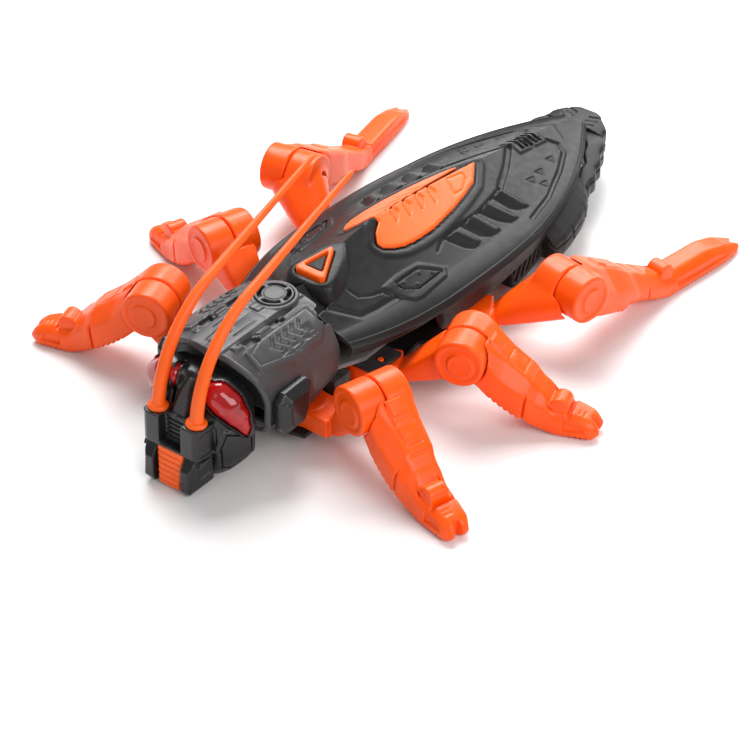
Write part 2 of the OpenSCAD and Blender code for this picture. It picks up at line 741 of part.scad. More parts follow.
// Chamfered slice across a shin at y, for hulls
module rib(y, x0, x1, z0, z1, c) {
    translate([0, y, 0]) rotate([90, 0, 0]) linear_extrude(eps) polygon([
        [x0 + c, z0], [x1 - c, z0], [x1, z0 + c], [x1, z1 - c],
        [x1 - c, z1], [x0 + c, z1], [x0, z1 - c], [x0, z0 + c]]);
}

module shin(k) {
    knee_z = knees[k].z;
    a = shins[k];
    f = feet[k];
    color(orange) at_knee(k) difference() {
        union() {
            barrel(-knee_half, -knee_gap, knee_r);
            difference() {
                union() {
                    hull() {
                        rib(3, -knee_half, 9, -9, 10.6, 3);
                        rib(a * 0.4, -12.5, 10, 13 - knee_z, 30 - knee_z, 4);
                        rib(a * 0.8, -9.5, 9, 4 - knee_z, 20 - knee_z, 4);
                    }
                    hull() {
                        rib(a * 0.7, -9.5, 9, 8 - knee_z, 22 - knee_z, 4);
                        rib(a + 1, -8, 7, 0 - knee_z, 14 - knee_z, 3);
                        rib(a + 4, -7.5, 6.5, 0 - knee_z, 12 - knee_z, 2);
                    }
                    hull() {
                        rib(a + 2, -7.5, 6.5, 0 - knee_z, 12 - knee_z, 2);
                        rib(a + f - 8, -7, 6, 0 - knee_z, 10 - knee_z, 2);
                        rib(a + f, -5.5, 4.5, 0 - knee_z, 6 - knee_z, 1.5);
                    }
                    // Knob over the ankle
                    translate([-0.5, a - 1, 13 - knee_z]) barrel(-5, 5, 4.2);
                }
                barrel(-knee_gap, 30, knee_r + knee_gap);
                // Fork of the toe
                translate([-1.6, a + f - 3.5, -knee_z - 1]) cube([2.4, 8, 12]);
            }
        }
        barrel(-knee_half + 1.8, 1, knee_bore_r);
        if (flip[k] == 0) barrel(-knee_half - 1, -knee_half + 2, pin_head_r + 0.3);
    }
}

module coxa_front_left() { coxa(0); }
module coxa_mid_left() { coxa(1); }
module coxa_rear_left() { coxa(2); }
module coxa_front_right() { mirror([0, 1, 0]) coxa(0); }
module coxa_mid_right() { mirror([0, 1, 0]) coxa(1); }
module coxa_rear_right() { mirror([0, 1, 0]) coxa(2); }
module knee_pin_front_left() { knee_pin(0); }
module knee_pin_mid_left() { knee_pin(1); }
module knee_pin_rear_left() { knee_pin(2); }
module knee_pin_front_right() { mirror([0, 1, 0]) knee_pin(0); }
module knee_pin_mid_right() { mirror([0, 1, 0]) knee_pin(1); }
module knee_pin_rear_right() { mirror([0, 1, 0]) knee_pin(2); }
module shin_front_left() { shin(0); }
module shin_mid_left() { shin(1); }
module shin_rear_left() { shin(2); }
module shin_front_right() { mirror([0, 1, 0]) shin(0); }
module shin_mid_right() { mirror([0, 1, 0]) shin(1); }
module shin_rear_right() { mirror([0, 1, 0]) shin(2); }

top_shell();
top_panel();
shell_hatches();
tail_bumper();
belly_tray();
battery_door();
door_screw();
thorax_shell();
side_fenders();
head_shell();
mandibles();
mouth_insert();
eye_left();
eye_right();
eye_lamps();
antenna_left();
antenna_right();
speaker_grille();
speaker();
button_housing();
power_button();
button_core();
button_board();
slide_switch();
gear_deck();
gear_cover();
cover_screws();
battery();
circuit_board();
motor_left();
motor_right();
motor_pinion_left();
motor_pinion_right();
compound_gear_left();
compound_gear_right();
crank_gear_left();
crank_gear_right();
walk_bar_left();
walk_bar_right();
coxa_front_left();
coxa_mid_left();
coxa_rear_left();
coxa_front_right();
coxa_mid_right();
coxa_rear_right();
knee_pin_front_left();
knee_pin_mid_left();
knee_pin_rear_left();
knee_pin_front_right();
knee_pin_mid_right();
knee_pin_rear_right();
shin_front_left();
shin_mid_left();
shin_rear_left();
shin_front_right();
shin_mid_right();
shin_rear_right();
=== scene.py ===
"""Looks of the six-legged beetle robot: moulded shells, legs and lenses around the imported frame.

Shapes are worked in millimetres in the frame of the CAD model and turned into metres as meshes.
The left half is modelled, and pieces of the right side are its mirror image.
"""

import json
import math

import bmesh
import bpy
import numpy as np
from mathutils import Matrix, Vector


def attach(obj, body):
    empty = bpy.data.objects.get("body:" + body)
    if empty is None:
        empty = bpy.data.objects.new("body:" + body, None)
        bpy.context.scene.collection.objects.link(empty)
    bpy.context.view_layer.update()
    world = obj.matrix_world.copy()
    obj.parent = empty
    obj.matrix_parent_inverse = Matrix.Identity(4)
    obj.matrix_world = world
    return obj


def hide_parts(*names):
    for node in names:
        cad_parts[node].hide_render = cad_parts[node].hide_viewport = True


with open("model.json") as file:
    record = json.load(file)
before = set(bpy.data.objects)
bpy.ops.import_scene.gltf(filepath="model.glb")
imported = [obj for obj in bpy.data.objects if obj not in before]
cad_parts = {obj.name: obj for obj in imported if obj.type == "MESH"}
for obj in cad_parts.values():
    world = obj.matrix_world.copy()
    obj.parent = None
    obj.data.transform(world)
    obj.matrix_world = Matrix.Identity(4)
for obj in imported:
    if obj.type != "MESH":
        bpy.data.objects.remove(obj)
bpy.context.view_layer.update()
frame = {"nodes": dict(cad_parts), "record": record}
MM = 0.001
# Edges of a clay piece stay sharp from this angle on, in degrees
CLAY_ANGLE = 60


# ---------- solids held as distances on a grid ----------
def meet(a, b, r):
    """What is inside both shapes: the larger distance, with the edge rounded over about r."""
    if r <= 0:
        return np.maximum(a, b)
    h = np.clip(1 - abs(a - b) / r, 0, None)
    return np.maximum(a, b) + h * h * (r / 4)


def join(a, b, r):
    """What is inside either shape, with the seam filled over about r."""
    return -meet(-a, -b, r)


def step(d, width):
    """0 well inside (d negative) to 1 outside, smoothly over the width."""
    t = np.clip(d / width + 0.5, 0, 1)
    return t * t * (3 - 2 * t)


def path_distance(u, v, points):
    """Distance in a plane from an open path of straight pieces."""
    nearest = np.full(np.broadcast(u, v).shape, 1e9, np.float32)
    for (u0, v0), (u1, v1) in zip(points, points[1:]):
        eu, ev = u1 - u0, v1 - v0
        t = np.clip(((u - u0) * eu + (v - v0) * ev) / (eu * eu + ev * ev), 0, 1)
        nearest = np.minimum(nearest, (u - u0 - t * eu) ** 2 + (v - v0 - t * ev) ** 2)
    return np.sqrt(nearest)


def within(d, width):
    """1 well inside to 0 outside, smoothly over the width."""
    return 1 - step(d, width)


def outline(u, v, points):
    """Signed distance in a plane from a closed outline, negative inside."""
    closed = points + points[:1]
    inside = np.zeros(np.broadcast(u, v).shape, bool)
    for (u0, v0), (u1, v1) in zip(closed, closed[1:]):
        if v0 != v1:
            inside ^= ((v0 > v) != (v1 > v)) & (u < (u1 - u0) * (v - v0) / (v1 - v0) + u0)
    return np.where(inside, -1, 1) * path_distance(u, v, closed)


def block(p, low, high, r=0.6):
    """A box with rounded edges."""
    sides = [abs(p[i] - (low[i] + high[i]) / 2) - (high[i] - low[i]) / 2 for i in range(3)]
    return meet(meet(sides[0], sides[1], r), sides[2], r)


def drum(p, axis, centre, radius, half, r=0.6):
    """A cylinder along one axis with rounded rims."""
    a, b = [i for i in range(3) if i != axis]
    radial = np.sqrt((p[a] - centre[a]) ** 2 + (p[b] - centre[b]) ** 2) - radius
    return meet(radial, abs(p[axis] - centre[axis]) - half, r)


def rod(p, start, end, r0, r1=None):
    """A round-ended rod, tapered from r0 to r1."""
    r1 = r0 if r1 is None else r1
    e = [end[i] - start[i] for i in range(3)]
    t = sum((p[i] - start[i]) * e[i] for i in range(3)) / sum(c * c for c in e)
    t = np.clip(t, 0, 1)
    return np.sqrt(sum((p[i] - start[i] - t * e[i]) ** 2 for i in range(3))) - (r0 + (r1 - r0) * t)


def half_space(p, point, normal):
    """Negative on the side that the normal points away from."""
    n = Vector(normal).normalized()
    return sum((p[i] - point[i]) * n[i] for i in range(3))


def convex(p, points, r=0.8):
    """The convex hull of points, with rounded edges."""
    bm = bmesh.new()
    for q in points:
        bm.verts.new(q)
    bmesh.ops.convex_hull(bm, input=bm.verts)
    bm.normal_update()
    planes = []
    for f in bm.faces:
        n, d = f.normal, f.normal.dot(f.verts[0].co)
        if all(n.dot(m) < 0.9995 for m, _ in planes):
            planes.append((n.copy(), d))
    bm.free()
    distance = None
    for n, d in planes:
        side = p[0] * n.x + p[1] * n.y + p[2] * n.z - d
        distance = side if distance is None else meet(distance, side, r)
    return distance


def mirrored(points):
    """Points of the left half and their mirror images."""
    return [tuple(q) for q in points] + [(q[0], -q[1], q[2]) for q in points]


class Clay:
    """A solid on a grid of points: shapes are joined to it and cut from it, with rounded seams."""

    def __init__(self, low, high, size=0.55):
        self.low, self.size = np.array(low, float), size
        axes = [np.arange(a, b + size, size, dtype=np.float32) for a, b in zip(low, high)]
        self.p = np.meshgrid(*axes, indexing="ij", sparse=True)
        self.d = np.full([len(a) for a in axes], 1e3, np.float32)

    def add(self, shape, r=0.0):
        self.d = join(self.d, shape, r)
        return self

    def cut(self, shape, r=0.0):
        self.d = meet(self.d, -shape, r)
        return self

    def keep(self, shape, r=0.0):
        self.d = meet(self.d, shape, r)
        return self

    def skin(self):
        """Points and quads of the solid's surface: one point in each cell that it passes through."""
        d = self.d
        for i in range(3):  # the surface closes at the grid's walls
            wall = [slice(None)] * 3
            for wall[i] in (0, -1):
                d[tuple(wall)] = np.maximum(d[tuple(wall)], 0.01)
        corners = [(i, j, k) for i in (0, 1) for j in (0, 1) for k in (0, 1)]
        n = np.array(d.shape)
        part = [d[i:n[0] - 1 + i, j:n[1] - 1 + j, k:n[2] - 1 + k] for i, j, k in corners]
        total = sum((q < 0).astype(np.int8) for q in part)
        mixed = (total > 0) & (total < 8)
        cells = np.argwhere(mixed)
        index = np.full(mixed.shape, -1, np.int64)
        index[mixed] = np.arange(len(cells))
        value = [q[mixed] for q in part]
        spot, count = np.zeros((len(cells), 3)), np.zeros(len(cells))
        for a in range(8):
            for b in range(a + 1, 8):
                ca, cb = np.array(corners[a]), np.array(corners[b])
                if abs(ca - cb).sum() != 1:
                    continue
                va, vb = value[a], value[b]
                crossed = (va < 0) != (vb < 0)
                t = np.where(crossed, va / np.where(crossed, va - vb, 1), 0)
                spot += np.where(crossed[:, None], ca + t[:, None] * (cb - ca), 0)
                count += crossed
        points = self.low + self.size * (cells + spot / count[:, None])
        quads = []
        for axis in range(3):
            u, v = [i for i in range(3) if i != axis]
            first = [slice(1, -1)] * 3
            first[axis] = slice(0, -1)
            second = list(first)
            second[axis] = slice(1, None)
            in0, in1 = d[tuple(first)] < 0, d[tuple(second)] < 0
            for found, turn in ((in0 & ~in1, 1), (~in0 & in1, -1)):
                e = np.argwhere(found)
                e[:, u] += 1
                e[:, v] += 1
                ring = []
                for du, dv in ((0, 0), (-1, 0), (-1, -1), (0, -1)):
                    c = e.copy()
                    c[:, u] += du
                    c[:, v] += dv
                    ring.append(index[tuple(c.T)])
                if (turn == 1) == (axis == 1):
                    ring.reverse()
                quads.append(np.stack(ring, 1))
        return points, np.concatenate(quads)


# ---------- meshes ----------
def add_object(name, data):
    obj = bpy.data.objects.new(name, data)
    bpy.context.scene.collection.objects.link(obj)
    return obj


def make_mesh(name, points, faces, keep_ratio=1.0, smooth_angle=35):
    """A mesh from points in millimetres, thinned to a share of its faces and shaded smooth."""
    mesh = bpy.data.meshes.new(name)
    faces = faces.tolist() if isinstance(faces, np.ndarray) else faces
    mesh.from_pydata((np.asarray(points) * MM).tolist(), [], faces)
    mesh.validate()
    obj = add_object(name, mesh)
    if keep_ratio < 1:
        modifier = obj.modifiers.new("thin", "DECIMATE")
        modifier.ratio = keep_ratio
        apply_modifiers(obj)
    obj.data.shade_smooth()
    obj.data.set_sharp_from_angle(angle=math.radians(smooth_angle))
    return obj


def apply_modifiers(obj):
    bpy.context.view_layer.update()
    done = bpy.data.meshes.new_from_object(obj.evaluated_get(bpy.context.evaluated_depsgraph_get()))
    obj.modifiers.clear()
    old, obj.data = obj.data, done
    bpy.data.meshes.remove(old)
    done.name = obj.name


def from_clay(name, clay, keep_ratio, matrix=None):
    """A piece from clay; a matrix takes the clay's frame to the robot's, in millimetres."""
    points, quads = clay.skin()
    if matrix is not None:
        m = np.array(matrix)
        points = points @ m[:3, :3].T + m[:3, 3]
        if np.linalg.det(m[:3, :3]) < 0:
            quads = quads[:, ::-1]
    return make_mesh(name, points, quads, keep_ratio, CLAY_ANGLE)


def mirror_copy(obj, name):
    """The same piece on the other side of the robot."""
    mesh = obj.data.copy()
    mesh.name = name
    mesh.transform(Matrix.Diagonal((1, -1, 1, 1)))
    mesh.flip_normals()
    return add_object(name, mesh)


def place(obj, slot, *nodes, body="chassis", material=None):
    """Finishes a piece: its material, by default the look of its slot; the CAD nodes that it stands for,
    which are hidden; and its body.
    """
    obj.data.materials.clear()
    obj.data.materials.append(material or SLOT_LOOKS[slot])
    if nodes:
        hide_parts(*nodes)
    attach(obj, body)


def place_both(left, slot, *nodes, body="chassis", material=None):
    """Places a left piece and its mirror image, whose names say right where the left ones say left."""
    right = mirror_copy(left, left.name.replace("left", "right"))
    place(left, slot, *nodes, body=body, material=material)
    twins = [node.replace("left", "right") for node in nodes if "left" in node]
    place(right, slot, *twins, body=body.replace("left", "right"), material=material)


def whole(name, half):
    """One mesh from a left half and its mirror image; each is closed, and they meet in the middle."""
    other = mirror_copy(half, name + "_other_half")
    bm = bmesh.new()
    bm.from_mesh(half.data)
    bm.from_mesh(other.data)
    mesh = bpy.data.meshes.new(name)
    bm.to_mesh(mesh)
    bm.free()
    for source in (half, other):
        bpy.data.objects.remove(source)
    return add_object(name, mesh)


# ---------- materials ----------
class Nodes:
    """Shorthand for a material's node tree; coordinates are the object's own, in metres."""

    def __init__(self, name):
        self.material = bpy.data.materials.new(name)
        self.material.use_nodes = True
        self.tree = self.material.node_tree
        self.shader = self.tree.nodes["Principled BSDF"]
        self.coords = self.tree.nodes.new("ShaderNodeTexCoord").outputs["Object"]

    def add(self, kind, inputs=(), **settings):
        node = self.tree.nodes.new(kind)
        for key, value in settings.items():
            setattr(node, key, value)
        for key, value in dict(inputs).items():
            self.put(node.inputs[key], value)
        return node

    def put(self, socket, value):
        if isinstance(value, bpy.types.NodeSocket):
            self.tree.links.new(value, socket)
        else:
            socket.default_value = value

    def set(self, name, value):
        self.put(self.shader.inputs[name], value)

    def noise(self, size_mm, detail=3.0, stretch=(1, 1, 1)):
        """Noise whose features are about size_mm across, from 0 to 1."""
        mapping = self.add("ShaderNodeMapping", {"Vector": self.coords, "Scale": stretch})
        return self.add("ShaderNodeTexNoise", {
            "Vector": mapping.outputs["Vector"], "Scale": 1 / (size_mm * MM), "Detail": detail,
        }).outputs["Fac"]

    def spread(self, value, low, high):
        """The value from 0.3 to 0.7 carried over to low to high."""
        return self.add("ShaderNodeMapRange", {
            "Value": value, "From Min": 0.3, "From Max": 0.7, "To Min": low, "To Max": high,
        }).outputs["Result"]

    def mix(self, fac, a, b, blend="MIX"):
        node = self.add("ShaderNodeMix", data_type="RGBA", blend_type=blend)
        self.put(node.inputs["Factor"], fac)
        self.put(node.inputs["A"], a)
        self.put(node.inputs["B"], b)
        return node.outputs["Result"]

    def edges(self, low, high):
        """0 on flats and 1 on outer edges, from the mesh's own curvature."""
        point = self.add("ShaderNodeNewGeometry").outputs["Pointiness"]
        return self.add("ShaderNodeMapRange", {
            "Value": point, "From Min": low, "From Max": high, "To Min": 0.0, "To Max": 1.0,
        }).outputs["Result"]

    def bump(self, height, depth_mm, normal=None):
        node = self.add("ShaderNodeBump", {"Height": height, "Distance": depth_mm * MM, "Strength": 1.0})
        if normal is not None:
            self.put(node.inputs["Normal"], normal)
        return node.outputs["Normal"]


def shade(colour, factor):
    return tuple(min(1.0, c * factor) for c in colour[:3]) + (1.0,)


def plastic(name, colour, rough=0.42, grain=0.012, grain_mm=0.45, wear=0.35, coat=0.0, spread=0.07,
            specular=0.5):
    """Moulded plastic: faint clouding, spark-eroded grain, and edges rubbed lighter."""
    n = Nodes(name)
    clouds = n.spread(n.noise(14, 4), 1 - spread, 1 + spread)
    tone = n.mix(1.0, shade(colour, 1), n.add("ShaderNodeCombineXYZ", {
        "X": clouds, "Y": clouds, "Z": clouds}).outputs["Vector"], "MULTIPLY")
    rub = n.add("ShaderNodeMath", operation="MULTIPLY")
    n.put(rub.inputs[0], n.edges(0.52, 0.62))
    n.put(rub.inputs[1], n.spread(n.noise(5, 5), 0.3 * wear, wear))
    lighter = tuple(c + (1 - c) * 0.22 for c in colour[:3]) + (1.0,)
    n.set("Base Color", n.mix(rub.outputs[0], tone, lighter))
    n.set("Roughness", n.spread(n.noise(3.5, 6), rough - 0.06, rough + 0.06))
    fine = n.noise(grain_mm, 2)
    scuffs = n.noise(2.2, 6, (1, 5, 5))
    n.set("Normal", n.bump(scuffs, grain * 0.8, n.bump(fine, grain)))
    n.set("IOR", 1.5)
    n.set("Specular IOR Level", specular)
    n.set("Coat Weight", coat)
    n.set("Coat Roughness", 0.18)
    return n.material


def metal(name, colour, rough=0.3):
    """Turned or plated metal: fine scratches and a little tarnish."""
    n = Nodes(name)
    tarnish = n.spread(n.noise(2.5, 5), 0.0, 0.5)
    n.set("Base Color", n.mix(tarnish, shade(colour, 1), shade(colour, 0.72)))
    n.set("Roughness", n.spread(n.noise(1.2, 4), rough - 0.08, rough + 0.12))
    n.set("Normal", n.bump(n.noise(0.5, 2, (1, 1, 8)), 0.006))
    n.set("Metallic", 1.0)
    return n.material


def lens(name, colour):
    """Clear red plastic with a deep, uneven tint, a glossy face and a faint painted glow."""
    n = Nodes(name)
    depth = n.spread(n.noise(16, 2), 0.0, 1.0)
    n.set("Base Color", n.mix(depth, shade(colour, 0.3), shade(colour, 1.0)))
    n.set("Roughness", n.spread(n.noise(4, 3), 0.05, 0.12))
    n.set("Normal", n.bump(n.noise(12, 1), 0.001))
    n.set("Coat Weight", 0.2)
    n.set("Coat Roughness", 0.06)
    # Painted glow: the lens gives off a faint red light of its own, though it is no lamp.
    n.set("Emission Color", (0.9, 0.02, 0.02, 1))
    n.set("Emission Strength", 0.02)
    return n.material


SHELL = plastic("shell_charcoal", (0.0125, 0.0128, 0.0135), rough=0.4, wear=0.25, specular=0.22)
BELLY = plastic("belly_black", (0.012, 0.012, 0.013), rough=0.5, specular=0.25)
GREY = plastic("thorax_grey", (0.052, 0.0525, 0.054), rough=0.36, wear=0.25, specular=0.45)
HEAD = plastic("head_black", (0.011, 0.011, 0.012), rough=0.3, wear=0.3, specular=0.4, coat=0.12)
ORANGE = plastic("panel_orange", (0.94, 0.115, 0.003), rough=0.4, wear=0.15, spread=0.05, specular=0.4)
LEG = plastic("leg_orange", (0.95, 0.088, 0.001), rough=0.34, wear=0.15, spread=0.05, specular=0.3,
              coat=0.05)
DARK = plastic("recess_black", (0.012, 0.012, 0.013), rough=0.55)
FRAME = plastic("deck_grey", (0.16, 0.165, 0.17), rough=0.5)
NYLON = plastic("nylon_white", (0.78, 0.76, 0.7), rough=0.42, grain=0.006)
WRAP = plastic("cell_wrap", (0.03, 0.16, 0.5), rough=0.3, coat=0.6)
BOARD = plastic("board_green", (0.015, 0.1, 0.04), rough=0.35, coat=0.5, grain_mm=0.9)
LAMP = plastic("lamp_white", (0.75, 0.73, 0.68), rough=0.2, coat=0.6)
STEEL = metal("steel", (0.6, 0.6, 0.62))
BRASS = metal("brass", (0.78, 0.56, 0.24))
LENS = lens("red_lens", (0.55, 0.006, 0.010))
SLOT_LOOKS = {
    "black_shell": SHELL, "belly_black": BELLY, "front_grey": GREY, "head_black": HEAD,
    "orange_trim": ORANGE, "black_trim": DARK, "red_lens": LENS, "lamp_white": LAMP,
    "screw_steel": STEEL, "pin_steel": STEEL, "brass_gear": BRASS, "nylon_white": NYLON,
    "board_green": BOARD, "cell_wrap": WRAP, "frame_grey": FRAME, "leg_orange": LEG,
}


# ---------- the shell ----------
SHELL_X = (-143.0, 72.0)
HALF_W, WALL = 45.0, 2.0
# Where the plan's rear and front curves would close on the middle plane
REAR_REACH, FRONT_REACH = 153.0, 116.5
RIDGE_TOP, RIDGE_TOP_X = 59.4, 20
PANEL = [(-61.5, 0), (-54.5, 4.6), (-50, 7.5), (-39, 10.5), (-26, 13.2), (-10, 15.5), (2, 16), (12, 15.2),
         (18, 13.4), (22.5, 10.9), (23.6, 8.6), (20, 5), (14.4, 2.4), (13, 0)]
HATCH = [(31.6, 24.9), (16.8, 25.5), (7.7, 31.7), (24.7, 32.1), (30.9, 28.2)]
LEDGE = [(38.2, 22.5), (28, 22), (14, 23.4), (4, 31.5), (8, 35), (26.7, 36.2), (31.4, 35.3), (35.9, 29.3)]
# Each gill: its outline, with its first two points on the inner edge, front and rear
GILLS = [
    [(-8, 21), (-18.6, 20.7), (-23, 26.8), (-24.5, 30.3), (-18.2, 32.6), (-13.5, 29)],
    [(-21.5, 19.8), (-34, 18.8), (-38, 25.3), (-39.3, 30.9), (-31.4, 32.4), (-25.8, 28.2)],
    [(-36.7, 19.3), (-46.2, 17.2), (-51.7, 23.9), (-53.6, 30.7), (-47.2, 31.7), (-42, 27.2)],
    [(-51, 16.8), (-60, 15.2), (-63.6, 21.4), (-65, 28.7), (-58.3, 28.6), (-53.8, 24.8)],
]
# Each groove: its path, half its width, its depth and the softness of its edges
GROOVES = [
    ([(-88.3, -2), (-88.3, 0), (-75.6, 7.6), (-60.7, 14.6)], 1.4, 1.3, 0.6),
    ([(-60.7, 14.6), (-51, 16.8), (-36.7, 19.3), (-21.5, 19.8), (-8, 21), (0, 24)], 0.5, 0.8, 0.8),
    ([(-58.5, 34.3), (-78, 30), (-99, 21.7), (-113.6, 14.3), (-115.6, 9.4), (-112.5, 5.5)], 1.0, 1.0, 1.2),
    ([(48.6, 10.6), (52, 14.2), (50.7, 19), (45.4, 22), (39.8, 23.7), (37.6, 28)], 0.3, 0.7, 1.0),
]
TRIANGLES = [(-80, 19.4), (-89, 18), (-102, 15), (-84, 24)]
CREASE = [(72, 8), (67.5, 11.5), (62.5, 18), (56.7, 25.4), (48, 27.3), (37.7, 28.5)]
VENTS_MIDDLE, VENT_PITCH, VENT_COUNT = -100.5, 3.5, 5
RIM_BEVEL = 0.8
# Height over the sloping shell, as a share that is closer to the distance from it
LEAN = 0.88


def shell_w(x):
    """Half the shell's width."""
    return HALF_W * (1 - (abs(x) / np.where(x < 0, REAR_REACH, FRONT_REACH)) ** 2.6)


def shell_rim(x):
    """Height of the shell's rim."""
    return np.maximum(29.4, 33 + 0.06 * x)


def shell_ridge(x):
    """Height of the shell in the middle plane."""
    behind = 28.6 * (np.clip(RIDGE_TOP_X - x, 0, None) / 164) ** 1.35
    ahead = 3 * (np.clip(x - RIDGE_TOP_X, 0, None) / 35) ** 1.6
    return RIDGE_TOP - np.where(x < RIDGE_TOP_X, behind, ahead)


def shell_rise(u):
    """Rise of the cross-section, from 0 at the rim (u = 1) to 1 in the middle (u = 0)."""
    u = np.clip(abs(u), 0, 1)
    return (0.3 + 0.7 * np.clip(1 - u / 0.75, 0, None) ** 1.3) * (1 - u ** 5) ** 0.85


def shell_z(x, y):
    return shell_rim(x) + (shell_ridge(x) - shell_rim(x)) * shell_rise(y / shell_w(x))


def groove(d, half, depth, soft):
    """Height change of a groove with a flat floor, from the distance to its middle line."""
    return -depth * within(d - half, soft)


def shell_relief(x, y):
    """Height of the moulded detail over the plain shell."""
    y = abs(y)
    panel = outline(x, y, PANEL + [(13, -9), (-61.5, -9)])
    h = -1.1 * within(panel - 0.7, 0.5)
    h += 0.55 * step(panel - 1.9, 1.6) * within(panel - 4.4, 1.8)
    ledge = outline(x, y, LEDGE)
    h += 0.9 * within(ledge, 1.2) * step(y - 22.6 - 0.25 * (30 - x) / 4, 6)
    h += -1.3 * within(outline(x, y, HATCH) - 0.5, 0.5)
    for gill in GILLS:
        d = outline(x, y, gill)
        (fx, fy), (rx, ry), (ox, oy) = gill[0], gill[1], gill[3]
        rear = rx + (ox - rx) * np.clip((y - ry) / (oy - ry), -0.3, 1.2)
        across = np.clip((x - rear) / (0.95 * (fx - rx)), 0, 1)
        scoop = 1.0 * np.exp(-((across - 0.2) / 0.32) ** 2) - 1.9 * step(across - 0.66, 0.8)
        h = np.where(d < 1, h + scoop * within(d + 0.5, 1.6), h)
    for path, half, depth, soft in GROOVES + [(CREASE, 1.0, 0.8, 2.4)]:
        h += groove(path_distance(x, y, path), half, depth, soft)
    for k in range(VENT_COUNT):
        vx = VENTS_MIDDLE + VENT_PITCH * ((VENT_COUNT - 1) / 2 - k)
        h += groove(np.maximum(abs(x - vx + 0.12 * y) - 0.9, y - 4.6), 0, 1.6, 0.5)
    from_vents = abs(x - VENTS_MIDDLE)
    h += 0.7 * within(np.maximum(from_vents - 11, y - 6.0), 1.4) * step(from_vents - 1, 4)
    for mx, my in TRIANGLES:
        triangle = outline(x, y, [(mx, my + 1.9), (mx - 2.6, my - 1.4), (mx + 2.4, my - 1.6)])
        h += groove(abs(triangle), 0.2, 0.55, 0.5)
    # The ridge drops away in front of the button's housing
    h -= 3.4 * step(x - 60, 5) * within(y - 12.5, 3)
    # A short line across the ridge, in front of the tail
    h -= 0.6 * within(abs(x + 127 - 0.5 * y) - 0.7, 1.0) * within(y - 9, 2)
    return h


def button_hollow(x, y):
    """Depth of the hollow in the shell that gives the power button room; its housing hides it."""
    return 7 * within(np.maximum(abs(x - 52.5) - 8.5, abs(y) - 7), 2.5)


def build_shell():
    step_mm, half_count, skirt_rows = 0.6, 120, 5
    xs = np.arange(SHELL_X[0], SHELL_X[1] + step_mm / 2, step_mm)
    # Columns get closer together towards the rim, where the section stands upright
    t = np.linspace(-1, 1, 2 * half_count + 1)
    u = np.sin(t * math.pi / 2)
    w, rim = shell_w(xs)[:, None], shell_rim(xs)[:, None]
    x = np.broadcast_to(xs[:, None], (len(xs), len(u)))
    skirt = np.where(xs < 22, 22.0, 31.5 - 9.5 * np.clip((23.5 - xs) / 1.5, 0, 1))[:, None]

    def over(inset):
        y = u * (w - inset - RIM_BEVEL)
        rise = shell_rise(u)
        z = rim + (shell_ridge(x) - rim) * rise - 1.25 * inset * np.clip(rise / 0.2, 0, 1)
        return np.stack([x, y, z], -1)

    outer, inner = over(0.0), over(WALL)
    fade = np.clip(shell_rise(u) / 0.25, 0, 1)
    outer[..., 2] += shell_relief(x, outer[..., 1]) * fade
    for layer in (outer, inner):
        layer[..., 2] -= button_hollow(x, layer[..., 1])
    # A raised bead runs round just inside the rim
    inside = w - RIM_BEVEL - abs(outer[..., 1])
    outer[..., 2] += 0.55 * within(abs(inside - 1.0) - 0.5, 0.7)

    def side(sign, inset, bead):
        """Rows from the rim down to the skirt's edge: (drop as a share, inset in mm)."""
        rows = [np.stack([xs[:, None], sign * (w - inset), rim - RIM_BEVEL], -1)]
        for k in range(1, skirt_rows + 1):
            share = k / skirt_rows
            out = bead * math.exp(-((share - 0.55) / 0.2) ** 2)
            y = sign * (w - inset - 1.5 * min(1, share * 1.6) + out)
            rows.append(np.stack([xs[:, None], y, rim - RIM_BEVEL + (skirt - rim + RIM_BEVEL) * share], -1))
        return np.concatenate(rows, 1)

    ring = np.concatenate([
        side(-1, 0, 0.9)[:, ::-1], outer, side(1, 0, 0.9),
        side(1, WALL, 0)[:, ::-1], inner[:, ::-1], side(-1, WALL, 0),
    ], 1)
    rows, n = ring.shape[:2]
    i, j = np.meshgrid(np.arange(rows - 1), np.arange(n), indexing="ij")
    i, j, k = i.ravel(), j.ravel(), (j.ravel() + 1) % n
    faces = np.stack([i * n + j, i * n + k, (i + 1) * n + k, (i + 1) * n + j], 1)
    j = np.arange(n // 2 - 1)
    start = np.stack([n - 1 - j, n - 2 - j, j + 1, j], 1)
    end = start[:, ::-1] + (rows - 1) * n
    # Columns run from -Y to +Y, so the quads are turned to face outwards
    faces = np.concatenate([faces[:, ::-1], start[:, ::-1], end[:, ::-1]])
    shell = make_mesh("shell", ring.reshape(-1, 3), faces, 0.45, 50)
    place(shell, "black_shell", "top_shell")


def both(points):
    """A closed outline of the left half, with its mirror image."""
    return points + [(x, -y) for x, y in reversed(points) if y]


def on_shell(p, edge, low, high, r):
    """A plate that follows the shell: inside the outline, from low to high over the surface."""
    z = shell_z(p[0], p[1])
    return meet(meet(edge, (p[2] - z - high) * LEAN, r), (z + low - p[2]) * LEAN, 0.3)


